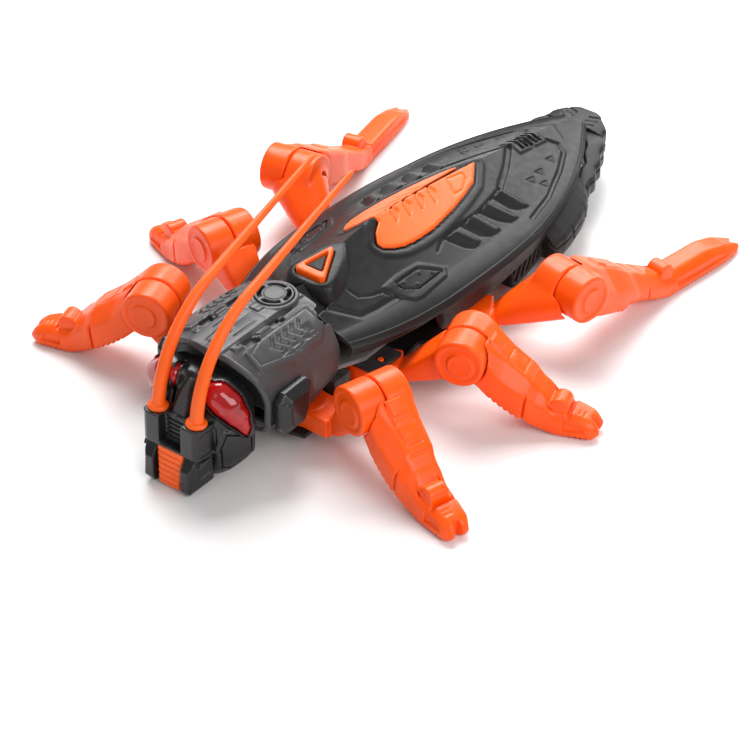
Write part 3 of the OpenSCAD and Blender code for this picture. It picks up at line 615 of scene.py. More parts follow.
def build_panel():
    clay = Clay((-64, -18, 42), (26, 18, 63), 0.5)
    x, y, z = clay.p
    side = abs(y)
    edge = outline(x, y, both(PANEL[:-1]) + PANEL[-1:])
    carve = np.zeros(edge.shape, np.float32)
    for k, bend in enumerate((-24, -15, -6, 3)):
        s = 1 - 0.06 * k
        hook = [(bend - 1, 0), (bend + 0.8, 1.4 * s), (bend + 2.6, 3.8 * s), (bend + 3.4, 7.9 * s)]
        back = [hook[-1], (bend + 0.6, 6.4 * s), (bend - 2.4, 3.3 * s)]
        carve -= groove(path_distance(x, side, hook), 0.35, 0.75, 0.6)
        carve -= groove(path_distance(x, side, back), 0.3, 0.45, 0.8)
        # The surface steps down behind each hook
        carve -= groove(outline(x, side, hook + back[1:]), 0, 0.5, 1.4)
    mark = outline(x, y, [(-37.6, 1.6), (-48.3, 2.4), (-47.6, 4.9), (-40, 8.6), (-34, 8.4)])
    carve -= groove(abs(mark), 0.3, 0.5, 0.5)
    ground = shell_z(x, y)
    top = (z - ground - 0.75 + np.minimum(carve, 1.0)) * LEAN
    clay.d = meet(meet(edge, top, 1.0), (ground - 0.9 - z) * LEAN, 0.3)
    place(from_clay("top_panel_piece", clay, 0.5), "orange_trim", "top_panel")


def build_hatches():
    clay = Clay((5, 22, 30), (34, 34.5, 56), 0.4)
    clay.add(on_shell(clay.p, outline(clay.p[0], clay.p[1], HATCH), -0.8, 0.35, 0.6))
    for rx, ry in ((28.4, 26.6), (18.2, 27.2), (12.6, 30.2), (23.6, 30.4)):
        rz = shell_z(rx, ry)
        clay.add(rod(clay.p, (rx, ry, rz - 1), (rx, ry, rz + 0.35), 0.75), 0.2)
    place_both(from_clay("hatch_left", clay, 0.6), "black_shell", "shell_hatches")


BUTTON = [(44.2, 0.9), (59.4, 7.9), (60.9, 6.4), (60.9, -6.4), (59.4, -7.9), (44.2, -0.9)]
BUTTON_CORE = [(48.2, 0.0), (56.6, 3.9), (56.6, -3.9)]
BUTTON_LEAN = 0.96


def button_top(x):
    return 60.4 - 0.27 * (x - 44.5)


def button_outlines(p):
    """Distances in plan from the button's outer edge and from the opening for its centre."""
    return outline(p[0], p[1], BUTTON), outline(p[0], p[1], BUTTON_CORE) - 0.8


def build_button():
    clay = Clay((29, -18, 44), (71, 18, 63), 0.4)
    x, y, z = p = clay.p
    base = [(31.5, 0, 55), (40.5, 10.6, 47), (56.8, 16, 45), (64.5, 15.2, 45), (67.5, 9, 45),
            (35.5, 0, 59.8), (41, 5.4, 59.4), (58.8, 12.2, 55.0), (62.6, 10.8, 54.0), (64.4, 7.4, 54.2)]
    clay.add(convex(p, mirrored(base), 2.6))
    # The housing's top falls with the button's, and has a bevelled well round it
    edge, _ = button_outlines(p)
    clay.cut(meet(edge - 1.6, button_top(x) - 1.6 - z, 0.4), 1.0)
    clay.cut(np.maximum(edge - 0.5, 50.8 - z))
    clay.cut(np.maximum(outline(x, y, [(30, -30), (71, -30), (71, 30), (30, 30)]), z - shell_z(x, y) + 2.2))
    housing = from_clay("button_housing_piece", clay, 0.9)
    # The housing takes the dark shell plastic in place of its slot's grey: painted shade over its hollow
    # bezel.
    place(housing, "front_grey", "button_housing", material=SHELL)

    ring = Clay((42, -10, 51), (63, 10, 63), 0.35)
    x, y, z = p = ring.p
    edge, core = button_outlines(p)
    ring.add(meet(meet(edge, (z - button_top(x)) * BUTTON_LEAN, 1.0), 52 - z, 0.3))
    ring.cut(meet(core, button_top(x) - 2.6 - z, 0.2), 0.7)
    place(from_clay("button_ring", ring, 0.6), "orange_trim", "power_button", body="power_button")

    centre = Clay((46, -6, 54), (59, 6, 61), 0.3)
    x, y, z = p = centre.p
    _, core = button_outlines(p)
    body = meet(core + 0.7, (z - button_top(x) + 0.9) * BUTTON_LEAN, 0.5)
    centre.add(meet(body, button_top(x) - 2.0 - z, 0.2))
    middle = from_clay("button_centre", centre, 0.7)
    place(middle, "front_grey", "button_core", body="power_button", material=BELLY)


def build_tail():
    clay = Clay((-158, -32, 8), (-100, 32, 31), 0.55)
    x, y, z = clay.p
    side = abs(y)
    plan = [(-157, 4.5), (-155.6, 8), (-152, 11.4), (-148, 15.2), (-141.5, 18.6), (-136, 21.6),
            (-129, 24.6), (-121.5, 27.6), (-113, 30.2), (-108.6, 29.4), (-109, 22), (-123, 19), (-138, 10),
            (-141, 0)]
    edge = outline(x, y, both(plan))
    # The outer wall steps in and out like a wave
    edge = edge + 0.55 * np.sin((x + 157) * 0.62) * within(x + 112, 4) * step(x + 155, 4)
    lid = 28.4 - 0.13 * np.clip(x + 152, 0, 40) - 0.16 * np.clip(side - 8, 0, 30)
    clay.add(meet(meet(edge, (z - lid) * 0.95, 2.0), 12 + 0.05 * (-x - 108) - z, 1.6))
    # Room for the shell's rear end
    under_shell = outline(x, y, [(-143.4, -30), (-100, -30), (-100, 30), (-143.4, 30)])
    clay.cut(meet(meet(under_shell, 25.4 - z, 0.3), side - 30, 0.3), 0.4)
    # A groove round the middle of the wall, and short ribs across the top edge
    clay.cut(meet(abs(z - 19.2) - 0.5, -edge - 0.9, 0.2), 0.3)
    for k in range(4):
        rib = meet(abs(x - (3.2 * k - 150) + 0.3 * side) - 0.45, lid - 0.6 - z, 0.2)
        clay.cut(meet(rib, abs(side - 6.5) - 3.0, 0.2), 0.2)
    place(from_clay("tail_piece", clay, 0.45), "black_shell", "tail_bumper")


# How far the pods stand out from the middle plane, along the body
POD_BULGE = [(-114, 26), (-108, 31.6), (-103, 35.6), (-97, 38.8), (-89, 41.8), (-80, 44), (-71, 45.4),
             (-62, 45)]


def build_flanks():
    """The lower hull's sides under the rear half of the rim: a pod, and a ribbed wall in front of it."""
    clay = Clay((-117, 17, 7.4), (-33, 48, 29), 0.5)
    x, y, z = clay.p
    bulge = np.interp(x, *np.transpose(POD_BULGE))
    wall = meet(y - bulge + 0.45 * np.clip(14 - z, 0, 9), x + 62 + 0.3 * np.clip(18 - z, 0, 9), 2.0)
    lid = (z - 20.5 + 0.75 * (y - bulge)) * 0.8
    pod = meet(meet(wall, -112 - x + 0.4 * np.clip(16 - z, 0, 9), 2.5), lid, 1.6)
    clay.add(meet(meet(pod, z - 28, 0.5), meet(8.4 - z, 19 - y, 0.5), 1.0))
    clay.cut(meet(abs(lid + 2.4) - 0.4, bulge - 3.4 - y, 0.3), 0.4)
    for seam in (-96, -79):
        clay.cut(meet(abs(x - seam - 0.2 * (z - 15)) - 0.6, bulge - 0.9 - y, 0.3), 0.5)
    inner = shell_w(x) - 3.6
    wall = meet(abs(x + 51) - 15.5, y - inner, 2.0)
    clay.add(meet(meet(wall, abs(z - 17.5) - 8.5, 1.0), 22 - y, 0.5), 0.6)
    window = meet(abs(x + 49) - 12.5, abs(z - 17.4) - 5.6, 1.0)
    ribs = abs((x + 0.6 * z + 200) % 5.2 - 2.6) - 1.5
    clay.cut(meet(meet(window, ribs, 0.4), inner - 2.2 - y, 0.3), 0.4)
    place_both(from_clay("flank_left", clay, 0.4), "belly_black")


# ---------- legs ----------
KNEE_R, KNEE_HALF, KNEE_GAP, PIN_R = 11.2, 13.0, 0.5, 2.06
HIP_BORE, PIN_HEAD_R = 2.56, 3.9
LEGS = {
    "front": dict(hip=(92.8, 24), knee=(92.8, 58.8, 34.6), yaw=-17.4, shin=40, foot=20.5, flip=1, pin=-10),
    "mid": dict(hip=(54.8, 24), knee=(37.2, 66.8, 32), yaw=17.7, shin=40, foot=20.5, flip=1, pin=10),
    "rear": dict(hip=(0, 34), knee=(-26.2, 76.6, 31), yaw=80.3, shin=60, foot=52, flip=-1, pin=-10),
}


def curve(s, points, soft=1.6):
    """Height of a line through points, with its corners eased over the soft length each way."""
    at, height = zip(*points)
    shifts = (-1.0, -0.5, 0.0, 0.5, 1.0)
    return sum(np.interp(s + soft * k, at, height) for k in shifts) / len(shifts)


def knee_frame(leg):
    """Matrix from a knee's frame to the robot's: X along the barrel to the arm's half, Y outwards."""
    turn = Matrix.Rotation(math.radians(leg["yaw"]), 4, "Z")
    return Matrix.Translation(Vector(leg["knee"])) @ turn @ Matrix.Diagonal((leg["flip"], 1, 1, 1))


def round_barrel(p):
    """Distance from the room that a knee's barrel needs."""
    return np.sqrt(p[1] ** 2 + p[2] ** 2) - KNEE_R - KNEE_GAP


def knee_end(clay, end, faced):
    """A closed end of a knee's barrel, at +X or -X: a disc face, or the hollow for the pin's head."""
    if faced:
        disc_face(clay, end, 1 if end > 0 else -1)
    else:
        clay.cut(drum(clay.p, 0, (end, 0, 0), PIN_HEAD_R, 2, 0.2), 0.3)


def disc_face(clay, end, sign):
    """The face of a knee's disc: a dished rim with a raised round boss a little off its centre."""
    p = clay.p
    clay.cut(drum(p, 0, (end, 0, 0), 8.6, 0.45, 0.3), 0.5)
    clay.add(drum(p, 0, (end - sign * 0.9, 0.8, -0.6), 5.9, 1.35, 0.8), 0.4)
    clay.cut(drum(p, 0, (end + sign * 0.6, 0.8, -0.6), 4.7, 0.5, 0.3), 0.4)


def build_arm(name, leg):
    """The upper leg: the hip's hub with its lever and pin, the arm, and one half of the knee's barrel."""
    matrix = knee_frame(leg)
    back = matrix.inverted()
    knee_z = leg["knee"][2]
    hx, hy = leg["hip"]
    out = Vector((leg["knee"][0] - hx, leg["knee"][1] - hy, 0)).normalized()
    side = Vector((out.y, -out.x, 0))

    def at_hip(along, across, z):
        v = Vector((hx, hy, 0)) + out * along + side * across
        return back @ Vector((v.x, v.y, z))

    hub = at_hip(0, 0, 15)
    corners = [at_hip(a, s * w, z) for a, w, z in
               ((1, 8.4, 10.6), (16.5, 8.4, 10.6), (1, 8.4, 19.4), (16.5, 8.4, 19.4)) for s in (-1, 1)]
    root = [at_hip(a, s * w, z) for a, w, z in
            ((15, 8.2, 10.7), (15, 7.4, 17.1), (22, 8.6, 12.0), (22, 8.0, 19.4)) for s in (-1, 1)]
    barrel, r = [], KNEE_R - 0.9
    for k in range(12):
        a = k * math.pi / 6
        barrel += [Vector((x, r * math.cos(a), r * math.sin(a))) for x in (-11.5, 11.8)]
    pin = back @ Vector((hx, hy + leg["pin"], 15))
    points = corners + barrel + [hub + Vector((s, t, 0)) for s in (-9, 9) for t in (-9, 9)]
    points += [pin + Vector((s, t, 0)) for s in (-4, 4) for t in (-4, 4)]
    low = [min(v[i] for v in points) - 2 for i in range(3)]
    high = [max(v[i] for v in points) + 2.5 for i in range(3)]
    low[2], high[2] = 9.4 - knee_z, max(high[2], KNEE_R + 1.5)
    clay = Clay(low, high, 0.5)
    p = clay.p
    clay.add(convex(p, root + barrel, 3.4))
    # A soft hollow along the arm's upper side, where it bends up to the barrel
    a, b = at_hip(24, 0, 33), at_hip(34, 0, 42)
    clay.cut(rod(p, a, b, 4.2, 1.5), 3.0)
    clay.cut(meet(round_barrel(p), p[0] - 0.2, 0.5), 0.4)
    clay.add(drum(p, 0, (6.5, 0, 0), KNEE_R, 6.5, 1.3), 1.6)
    # The arm stays clear of the lower leg's half of the barrel, and of its heel below that
    heel = np.clip(-0.09 * p[2], 0, 1)
    clay.cut(meet(round_barrel(p) - heel, abs(p[0] + 9.9) - 9.9, 0.2), 0.2)
    clay.add(convex(p, corners, 0.8), 1.5)
    clay.add(drum(p, 2, (hub.x, hub.y, 15 - knee_z), 8.5, 4.6, 0.8), 0.8)
    for height, radius, half in ((17, 3.5, 2.6), (18.2, 1.5, 3.8)):
        clay.add(drum(p, 2, (pin.x, pin.y, height - knee_z), radius, half, 0.3), 0.3)
    clay.add(rod(p, (hub.x, hub.y, 17 - knee_z), (pin.x, pin.y, 17 - knee_z), 2.6), 0.5)
    clay.cut(drum(p, 2, (hub.x, hub.y, 15 - knee_z), HIP_BORE, 30, 0))
    clay.cut(drum(p, 0, (5, 0, 0), PIN_R, 6, 0))
    knee_end(clay, KNEE_HALF, leg["flip"] > 0)
    arm = from_clay("arm_%s_left" % name, clay, 0.35, matrix)
    place_both(arm, "leg_orange", "coxa_%s_left" % name, body="upper_leg_%s_left" % name)


TREAD_PITCH, KNOB_R = 2.6, 4.3
# Height over a leg's sloping line, as a share that is closer to the distance from it
LEG_LEAN = 0.86
# Lower legs: side view of the top and the bottom line, and the plan, out from the knee's axis
SHORT_TOP = [(-8, 10.2), (1, 11.0), (8, 8.4), (16, 1.0), (23.6, -5.0), (30.4, -9.8), (31.4, -12.4),
             (36.6, -16.4), (39.5, -20.4), (45, -22.6), (51, -23.8), (56.5, -25.6), (59.6, -28), (60.8, -30)]
SHORT_BOTTOM = [(-8, -9.5), (3, -11.0), (7, -12.6), (12, -17.4), (18, -22.0), (25, -26.6), (31, -29.4),
                (36, -32.4), (40, -34.1), (44, -34.6), (57.5, -34.6), (60.5, -32.2)]
SHORT_PLAN = [(-13, -3), (-13, 6), (-12.5, 16), (-10.6, 27.5), (-9.0, 30.5), (-8.4, 41), (-7.9, 50),
              (-7.2, 56), (-5.0, 60.3), (4.0, 60.3), (6.2, 56), (6.8, 50), (7.2, 43), (7.8, 36), (9.4, 30.5),
              (10.2, 24), (10.4, 14), (9.6, 6), (9, -3)]
LONG_TOP = [(-8, 10.2), (2, 11.0), (10, 8.8), (27.5, -1.2), (34, -5.4), (34.8, -6.6), (50.6, -15.6),
            (57, -18.8), (64, -20.4), (90, -20.4), (100, -22.8), (107, -25.8), (112, -27.6)]
LONG_BOTTOM = [(-8, -9.5), (3, -11.0), (9, -13.4), (18, -16.4), (25, -19.4), (27.2, -17.4), (42, -23.4),
               (54, -28.8), (59, -31), (109, -31), (112, -29.4)]
LONG_PLAN = [(-13, -3), (-13, 8), (-12.4, 22), (-10.6, 33), (-9.6, 36), (-9.0, 50), (-8.0, 60), (-7.8, 85),
             (-7.4, 100), (-6.4, 107), (-4.2, 111.8), (3.2, 111.8), (5.4, 107), (6.4, 100), (6.8, 85),
             (7.0, 60), (8.6, 50), (9.0, 36), (10.0, 30), (10.2, 16), (9, 6), (9, -3)]


def build_shin(name, leg):
    """The lower leg: one half of the knee's barrel, the shin, the ankle's knob and the foot."""
    matrix, short = knee_frame(leg), leg["shin"] < 50
    ankle, toe, floor = leg["shin"], leg["shin"] + leg["foot"], -leg["knee"][2]
    top, bottom, plan = ((SHORT_TOP, SHORT_BOTTOM, SHORT_PLAN) if short
                         else (LONG_TOP, LONG_BOTTOM, LONG_PLAN))
    # The lines are for one height of knee: at another, the foot moves with the floor
    drop = floor - min(z for _, z in bottom)
    top, bottom = [[(s, z + drop * min(1, max(0, s / ankle))) for s, z in line] for line in (top, bottom)]
    clay = Clay((-14.5, -12.5, floor - 1), (12, toe + 1.5, 13), 0.5)
    x, y, z = p = clay.p
    # The lit side of the shin: towards the front on the short legs, outwards on the rear ones
    lit = x * leg["flip"]
    upper, lower = curve(y, top), curve(y, bottom)
    tread = np.clip(np.sin(y * 2 * math.pi / TREAD_PITCH) * 2.5, 0, 1)
    treaded = [(ankle + 5, toe - 5), (ankle * 0.3, ankle * 0.78)]
    lower = lower + 0.9 * tread * sum(within(abs(y - (a + b) / 2) - (b - a) / 2, 1.5) for a, b in treaded)
    body = meet(outline(x, y, plan), (z - upper) * LEG_LEAN, 2.4)
    # The top falls away as a broad facet on the lit side and a narrow one on the other
    facet = (z - upper + np.clip(1 - (y - 4) / 14, 0, 1) * -4) * 0.62
    body = meet(body, facet + (lit - 3.6) * 0.72, 1.4)
    body = meet(body, facet + (-lit - 9.4) * 0.8, 2.0)
    clay.add(meet(body, (lower - z) * LEG_LEAN, 2.4))
    # Collar line where the calf meets the ankle, and the raised pad with its notch on the top
    collar = ankle * 0.735
    clay.cut(meet(abs(y - collar - 0.12 * (z - upper)) - 0.45, upper - 0.55 - z, 0.3), 0.4)
    clay.cut(meet(abs(y - collar - 0.1 * (z - upper)) - 0.4, abs(lit - 12) - 4.0, 0.3), 0.4)
    pad = meet(abs(lit + 2.6) - 3.4, abs(y - ankle * 0.33) - 2.6, 0.5)
    clay.add(meet(pad, abs((z - upper) * LEG_LEAN + 1) - 1.8, 0.5), 0.4)
    notch = meet(abs(lit - 1.9) - 0.35, abs(y - ankle * 0.42) - 6.5, 0.3)
    clay.cut(meet(notch, upper - 0.9 - z, 0.2), 0.3)
    tongue = meet(abs(lit + 2.6) - 4.2, abs(y - ankle * 0.56) - 3.6, 0.8)
    clay.cut(meet(abs(tongue) - 0.22, upper - 0.55 - z, 0.2), 0.3)
    # Knob over the ankle between two cheeks
    knob_y, knob_z = ankle + (2.4 if short else -0.6), floor + (13.4 if short else 12.2)
    clay.cut(meet(abs(y - knob_y - 4.6) - 0.5, floor + 9.8 - z, 0.3), 0.6)
    clay.add(drum(p, 0, (-0.5, knob_y, knob_z), KNOB_R, 4.7, 1.0), 0.5)
    cheeks = meet(abs(abs(x + 0.5) - 5.4) - 0.35, abs(y - knob_y) - 5, 0.3)
    clay.cut(cheeks + np.maximum(0, knob_z - 1.5 - z), 0.3)
    # Foot: two small marks on the top, a panel on each side and a forked toe
    for k in (0, 1):
        mark = meet(abs(lit - 0.4) - 1.8, abs(y - (toe - 9.5) - 2 * k) - 0.4, 0.3)
        clay.cut(meet(mark, upper - 0.6 - z, 0.2), 0.2)
    panel = outline(y, z, [(ankle + 5, floor + 4), (ankle + 5, floor + 8.6), (toe - 9, floor + 7.6),
                           (toe - 5, floor + 4)])
    clay.cut(meet(panel, 6.0 - abs(x + 0.5), 0.4), 0.4)
    clay.cut(meet(abs(x + 0.4) - 1.0 - np.clip(y - toe + 4, 0, 9) * 0.34, toe - 4.4 - y, 0.8), 0.8)
    clay.keep(floor - z, 0.8)
    # Knee: the shin holds one half of the barrel and stays clear of the other
    clay.cut(meet(round_barrel(p), -x - KNEE_GAP, 0.3), 0.5)
    clay.add(drum(p, 0, (-(KNEE_HALF + KNEE_GAP) / 2, 0, 0), KNEE_R, (KNEE_HALF - KNEE_GAP) / 2, 1.3), 1.2)
    clay.cut(meet(round_barrel(p), abs(x - 6) - 6 - KNEE_GAP, 0.1), 0.1)
    # Room for the arm when the foot is down
    clay.cut(block(p, (-KNEE_GAP, -6, -30), (14, 5.6, -5), 0.5), 0.5)
    clay.cut(drum(p, 0, (-5.5, 0, 0), PIN_R, 6, 0))
    knee_end(clay, -KNEE_HALF, leg["flip"] < 0)
    shin = from_clay("leg_%s_left" % name, clay, 0.35, matrix)
    place_both(shin, "leg_orange", "shin_%s_left" % name, body="lower_leg_%s_left" % name)


# ---------- thorax ----------
THORAX = [(73, [(0, 56), (9, 56), (19, 52), (28, 36), (26, 22)]),
          (100, [(0, 58), (10, 58), (24, 52), (31, 40), (30, 20)]),
          (132, [(0, 58), (10, 58), (25, 49), (28.6, 40), (26, 22)])]
SPEAKER = (84, 0)
SPEAKER_TOP = 58.6


def slices(sections):
    """Points of cross-sections given for the left half: each is an x and its (y, z) corners."""
    return mirrored([Vector((x, y, z)) for x, ring in sections for y, z in ring])


def marks_on(u, v, shapes, width=0.3):
    """1 inside any of the outlines, 0 outside them."""
    return within(np.minimum.reduce([outline(u, v, s) for s in shapes]), width)


# Plates, pockets and steps on the left half of the thorax, in plan
PLATE = [(78, 13.2), (83, 11.2), (112, 12.2), (121.5, 14.5), (122.5, 23), (104, 27.5), (84, 25.5),
         (78.5, 22)]
PLATE_LINE = [(81, 14.4), (111, 14.2), (119.4, 16.4), (120, 21.8), (103, 25.4), (84.6, 23.6), (81, 20.6)]
DEEP_POCKETS = [[(94, 9.4), (100, 9.4), (100.8, 13.4), (93, 13.4)],
                [(111.4, 9.4), (117, 9.4), (117.6, 14), (110, 14)]]
SHALLOW_POCKET = [(86, 19.5), (90, 19.5), (89, 22.6), (86, 22.6)]
STEPS = [[(101.4, 8.8), (109, 8.8), (108.4, 12.8), (102.2, 12.8)],
         [(118.2, 8.8), (124, 8.8), (123.6, 12), (118.8, 12)]]


def thorax_relief(x, side):
    """Height of the moulded detail over the thorax's plain top."""
    roof = meet(side - 8.6, abs(x - 103) - 28, 0.5)
    relief = 0.9 * within(roof, 0.5)
    relief = relief + 1.15 * within(outline(x, side, PLATE), 0.6)
    relief = relief - 0.9 * within(abs(side - 10.0) - 0.75, 0.5) * within(abs(x - 103) - 18, 1)
    relief = relief - 0.8 * marks_on(x, side, [SHALLOW_POCKET], 0.5)
    relief = relief + 0.8 * marks_on(x, side, STEPS, 0.5)
    # Engraved pattern on the side plates: plain bars and chevrons
    for k in range(5):
        bend = 91.5 + 4.4 * k
        chevron = [(bend - 2.4, 16.8), (bend, 19.2), (bend - 2.4, 21.6)]
        relief = relief + groove(path_distance(x, side, chevron), 0.75, 0.75, 0.5)
    for k in range(3):
        dash = [(90 + 7 * k, 23.6), (94 + 7 * k, 23.6)]
        relief = relief + groove(path_distance(x, side, dash), 0.45, 0.6, 0.5)
    return relief + groove(abs(outline(x, side, PLATE_LINE)), 0.25, 0.3, 0.35)


def speaker_distance(x, y):
    return np.sqrt((x - SPEAKER[0]) ** 2 + y ** 2)


def build_thorax():
    clay = Clay((70.5, -0.4, 17), (133, 35.2, 60.4), 0.4)
    x, y, z = p = clay.p
    side = abs(y)
    base = convex(p, slices(THORAX), 2.6)
    inner = base + 2.2
    clay.add(base - thorax_relief(x, side) * step(z - 38, 3))
    for pocket in DEEP_POCKETS:
        clay.cut(meet(outline(x, side, pocket), 54.4 - z, 0.5), 0.5)
    # Centre details: a nose bump over the hood, cross grooves and a small catch
    bump = [(114, 3.2, 58), (128.5, 2.2, 57.5), (116, 2.2, 60.0), (126, 1.6, 59.4)]
    clay.add(convex(p, mirrored(bump), 0.5), 0.6)
    clay.cut(meet(abs(x - 98.5) - 0.35, 57.9 - z, 0.2), 0.2)
    clay.cut(meet(meet(abs(side - 5.4) - 0.35, abs(x - 110) - 7.5, 0.2), 58.1 - z, 0.2), 0.2)
    # Speaker boss, and the catch in front of it
    boss = speaker_distance(x, y)
    boss_rim = meet(boss - 10.2, z - 58.3, 0.8)
    well = meet(boss - 8.7, 54.9 - z, 0.3)
    clay.add(meet(boss_rim, 50 - z, 0.3), 1.2)
    clay.cut(well, 0.3)
    clay.add(meet(meet(side - 2.6, abs(x - 95.6) - 2.0, 0.4), z - 58.8, 0.4), 0.4)
    # Cheeks: the long wall below the side plates bulges, with a groove above the skirt
    cheek = [(76, 25.5, 34), (98, 30.0, 41), (98, 31.2, 30), (80, 27.6, 25), (97, 29.4, 22), (88, 24, 40)]
    clay.add(convex(p, mirrored(cheek), 2.2), 1.6)
    clay.cut(meet(abs(z - 24.2 - 0.02 * (x - 73)) - 0.4, -inner - 0.4, 0.2), 0.3)
    # The body is hollow, but stays solid over the walking gear, so that no light falls through
    clay.cut(meet(inner, 12.5 - abs(x - 108), 0.6), 0.5)
    clay.add(meet(boss_rim, 54.2 - z, 0.3), 0.3)
    clay.cut(well, 0.3)
    clay.cut(block(p, (60, -21.6, 10), (80.2, 21.6, 53), 1.5), 0.5)
    clay.cut(block(p, (66, -24, 10), (124, 24, 30), 1.0), 0.5)
    # The hood is open at the front, with a thin lip just behind its edge
    hood = 130.6 - 3.9 * (side / 26) ** 2 + 0.1 * np.minimum(z - 50, 0)
    clay.keep(x - hood, 0.6)
    clay.cut(meet(120.6 - x, base + 1.5, 0.4), 0.4)
    clay.keep(19.8 - z, 0.8)
    clay.add(meet(meet(abs(x - hood + 1.2) - 0.8, base - 0.5, 0.3), -1.2 - base, 0.3), 0.4)
    half = from_clay("thorax_half", clay, 0.35)
    place(whole("thorax_piece", half), "front_grey", "thorax_shell")


def build_speaker():
    clay = Clay((SPEAKER[0] - 9.5, -9.5, 54), (SPEAKER[0] + 9.5, 9.5, 60), 0.3)
    x, y, z = clay.p
    r = speaker_distance(x, y)
    crown = z - SPEAKER_TOP - 0.5 + 0.014 * np.maximum(r - 4, 0) ** 2
    clay.add(meet(meet(r - 8.4, crown, 0.5), 55.2 - z, 0.4))
    arms = abs(np.sin(2.0 * (np.arctan2(y, x - SPEAKER[0]) + 0.35))) * r * 0.5
    slots = meet(abs(r - 6.4) - 0.95, 0.9 - arms, 0.4)
    clay.cut(meet(slots, 55.9 - z, 0.2), 0.3)
    clay.cut(meet(abs(r - 4.7) - 0.25, SPEAKER_TOP + 0.1 - z, 0.15), 0.2)
    place(from_clay("speaker_cap", clay, 0.5), "front_grey", "speaker_grille")


def build_fenders():
    clay = Clay((99, 29, 18.5), (124.5, 38, 44), 0.35)
    x, y, z = p = clay.p
    edge = outline(x, z, [(101.2, 38.6), (104, 41.8), (118.6, 41.8), (122.4, 38.2), (122.4, 25.4),
                          (118.6, 20.6), (107.6, 20.6), (103.4, 27)])
    clay.add(meet(meet(edge, y - 36.4, 0.8), 30.2 - y, 0.2))
    # A broad bevel all round the outer face
    clay.keep((edge + 1.15 * (y - 32.8)) * 0.66, 0.6)
    place_both(from_clay("fender_left", clay, 0.5), "belly_black", "side_fenders", material=HEAD)


# ---------- head ----------
HEAD_FORM = [(126.4, [(0, 51), (15, 49.4), (24.4, 40), (24.6, 14), (20, 8)]),
             (138, [(0, 49.4), (12, 47.4), (21.8, 32), (21, 12), (17, 4)]),
             (146.4, [(0, 34), (11, 34), (15, 20), (13, 6)])]
EYE_LINE = [((138.2, 9.8, 45.2), 4.4), ((137.5, 13.6, 44.2), 5.9), ((136.4, 17.8, 40.8), 6.0),
            ((134.9, 21.1, 35.6), 4.5), ((133.6, 23.3, 30.2), 2.3), ((133.2, 24.0, 26.6), 1.1)]
EYE_OUT = (0.70, 0.52, 0.42)
FEELER_ROOT = (149, 26)
FEELER_Y = 10.25
FEELER_LONG = 143


def eye_shape(p, shift=0.0, grow=0.0):
    """The crescent lens, moved out of its socket by shift and thickened by grow."""
    line = [(Vector(c) + Vector(EYE_OUT) * shift, r + grow) for c, r in EYE_LINE]
    shape = None
    for (a, ra), (b, rb) in zip(line, line[1:]):
        piece = rod(p, a, b, ra, rb)
        shape = piece if shape is None else join(shape, piece, 3.0)
    return shape


def build_head():
    clay = Clay((125.4, -0.4, 1), (156, 27.2, 54), 0.4)
    x, y, z = p = clay.p
    form = [Vector((a, s * b, c)) for a, ring in HEAD_FORM for b, c in ring for s in (-1, 1)]
    base = convex(p, form, 2.6)
    clay.add(base)
    # Brow over the eye, and its open socket
    clay.add(eye_shape(p, -1.0, 1.5), 1.4)
    for shift in (0, 1.6, 3.2, 5.0, 7.0):
        clay.cut(eye_shape(p, shift, 0.12), 0.2)
    # Cheek: a long crease and a plate with a bevelled edge below the eye
    cheek = outline(x, z, [(128, 14), (128, 27), (134.5, 27.5), (141.5, 30), (144.4, 21), (143.5, 9),
                           (138, 7.4)])
    clay.add(meet(cheek, meet(base - 0.8, 12 - y, 0.3), 0.5), 0.5)
    clay.cut(meet(abs(cheek + 1.9) - 0.28, 12 - y, 0.2), 0.3)
    # Snout with the two upright sockets, and a recessed face of thin slats between them
    snout = [(140, 15.4, 19), (140, 15.4, 34.0), (152.4, 15.0, 34.2), (152.8, 15.0, 19),
             (154.0, 12.6, 34.2), (154.4, 12.6, 19), (140, -1, 19), (140, -1, 34.0), (154.0, -1, 34.2),
             (154.4, -1, 19)]
    clay.add(convex(p, snout, 0.5), 0.8)
    clay.cut(block(p, (149.6, -6, 20.6), (158, 5.7, 40), 0.5), 0.4)
    for k in range(5):
        clay.cut(block(p, (148.7, -6, 22 + 2.3 * k), (152, 5.0, 23 + 2.3 * k), 0.2), 0.2)
    clay.cut(meet(abs(y - 15.4) - 0.9, abs(z - 26) - 5.5, 0.4) + np.maximum(0, 143.2 - x), 0.3)
    clay.cut(path_distance(x, y, [(143.6, 6.2), (133, 8.2)]) - 0.7 + np.maximum(0, 34 - z) * 0.5, 0.8)
    clay.cut(drum(p, 2, (FEELER_ROOT[0], FEELER_Y, 40), 3.4, 14, 0.2), 0.2)
    # Flat back of the jaws' mount, and the hollow inside
    clay.cut(block(p, (143.9, -5, -5), (170, 40, 18.6), 0.4), 0.3)
    clay.cut(meet(base + 2.4, block(p, (120, -18, 10), (139, 17, 46), 2), 0.5), 0.5)
    half = from_clay("head_half", clay, 0.4)
    place(whole("head_piece", half), "head_black", "head_shell")


def build_nose():
    """The light wedge that climbs back from the snout between the feelers."""
    clay = Clay((134, -6.5, 31), (150, 6.5, 50), 0.35)
    wedge = [(148.4, 3.4, 32.2), (147.4, 3.2, 35.4), (142.8, 1.4, 44.2), (139.2, 0.5, 47.6),
             (136, 2.4, 46.4), (138, 4.6, 38), (140, 5.0, 32.2)]
    clay.add(convex(clay.p, mirrored(wedge), 0.35))
    clay.cut(rod(clay.p, (147.6, 0, 37.6), (142.8, 0, 46.4), 0.7, 0.4), 0.4)
    place(from_clay("nose_piece", clay, 0.6), "front_grey")


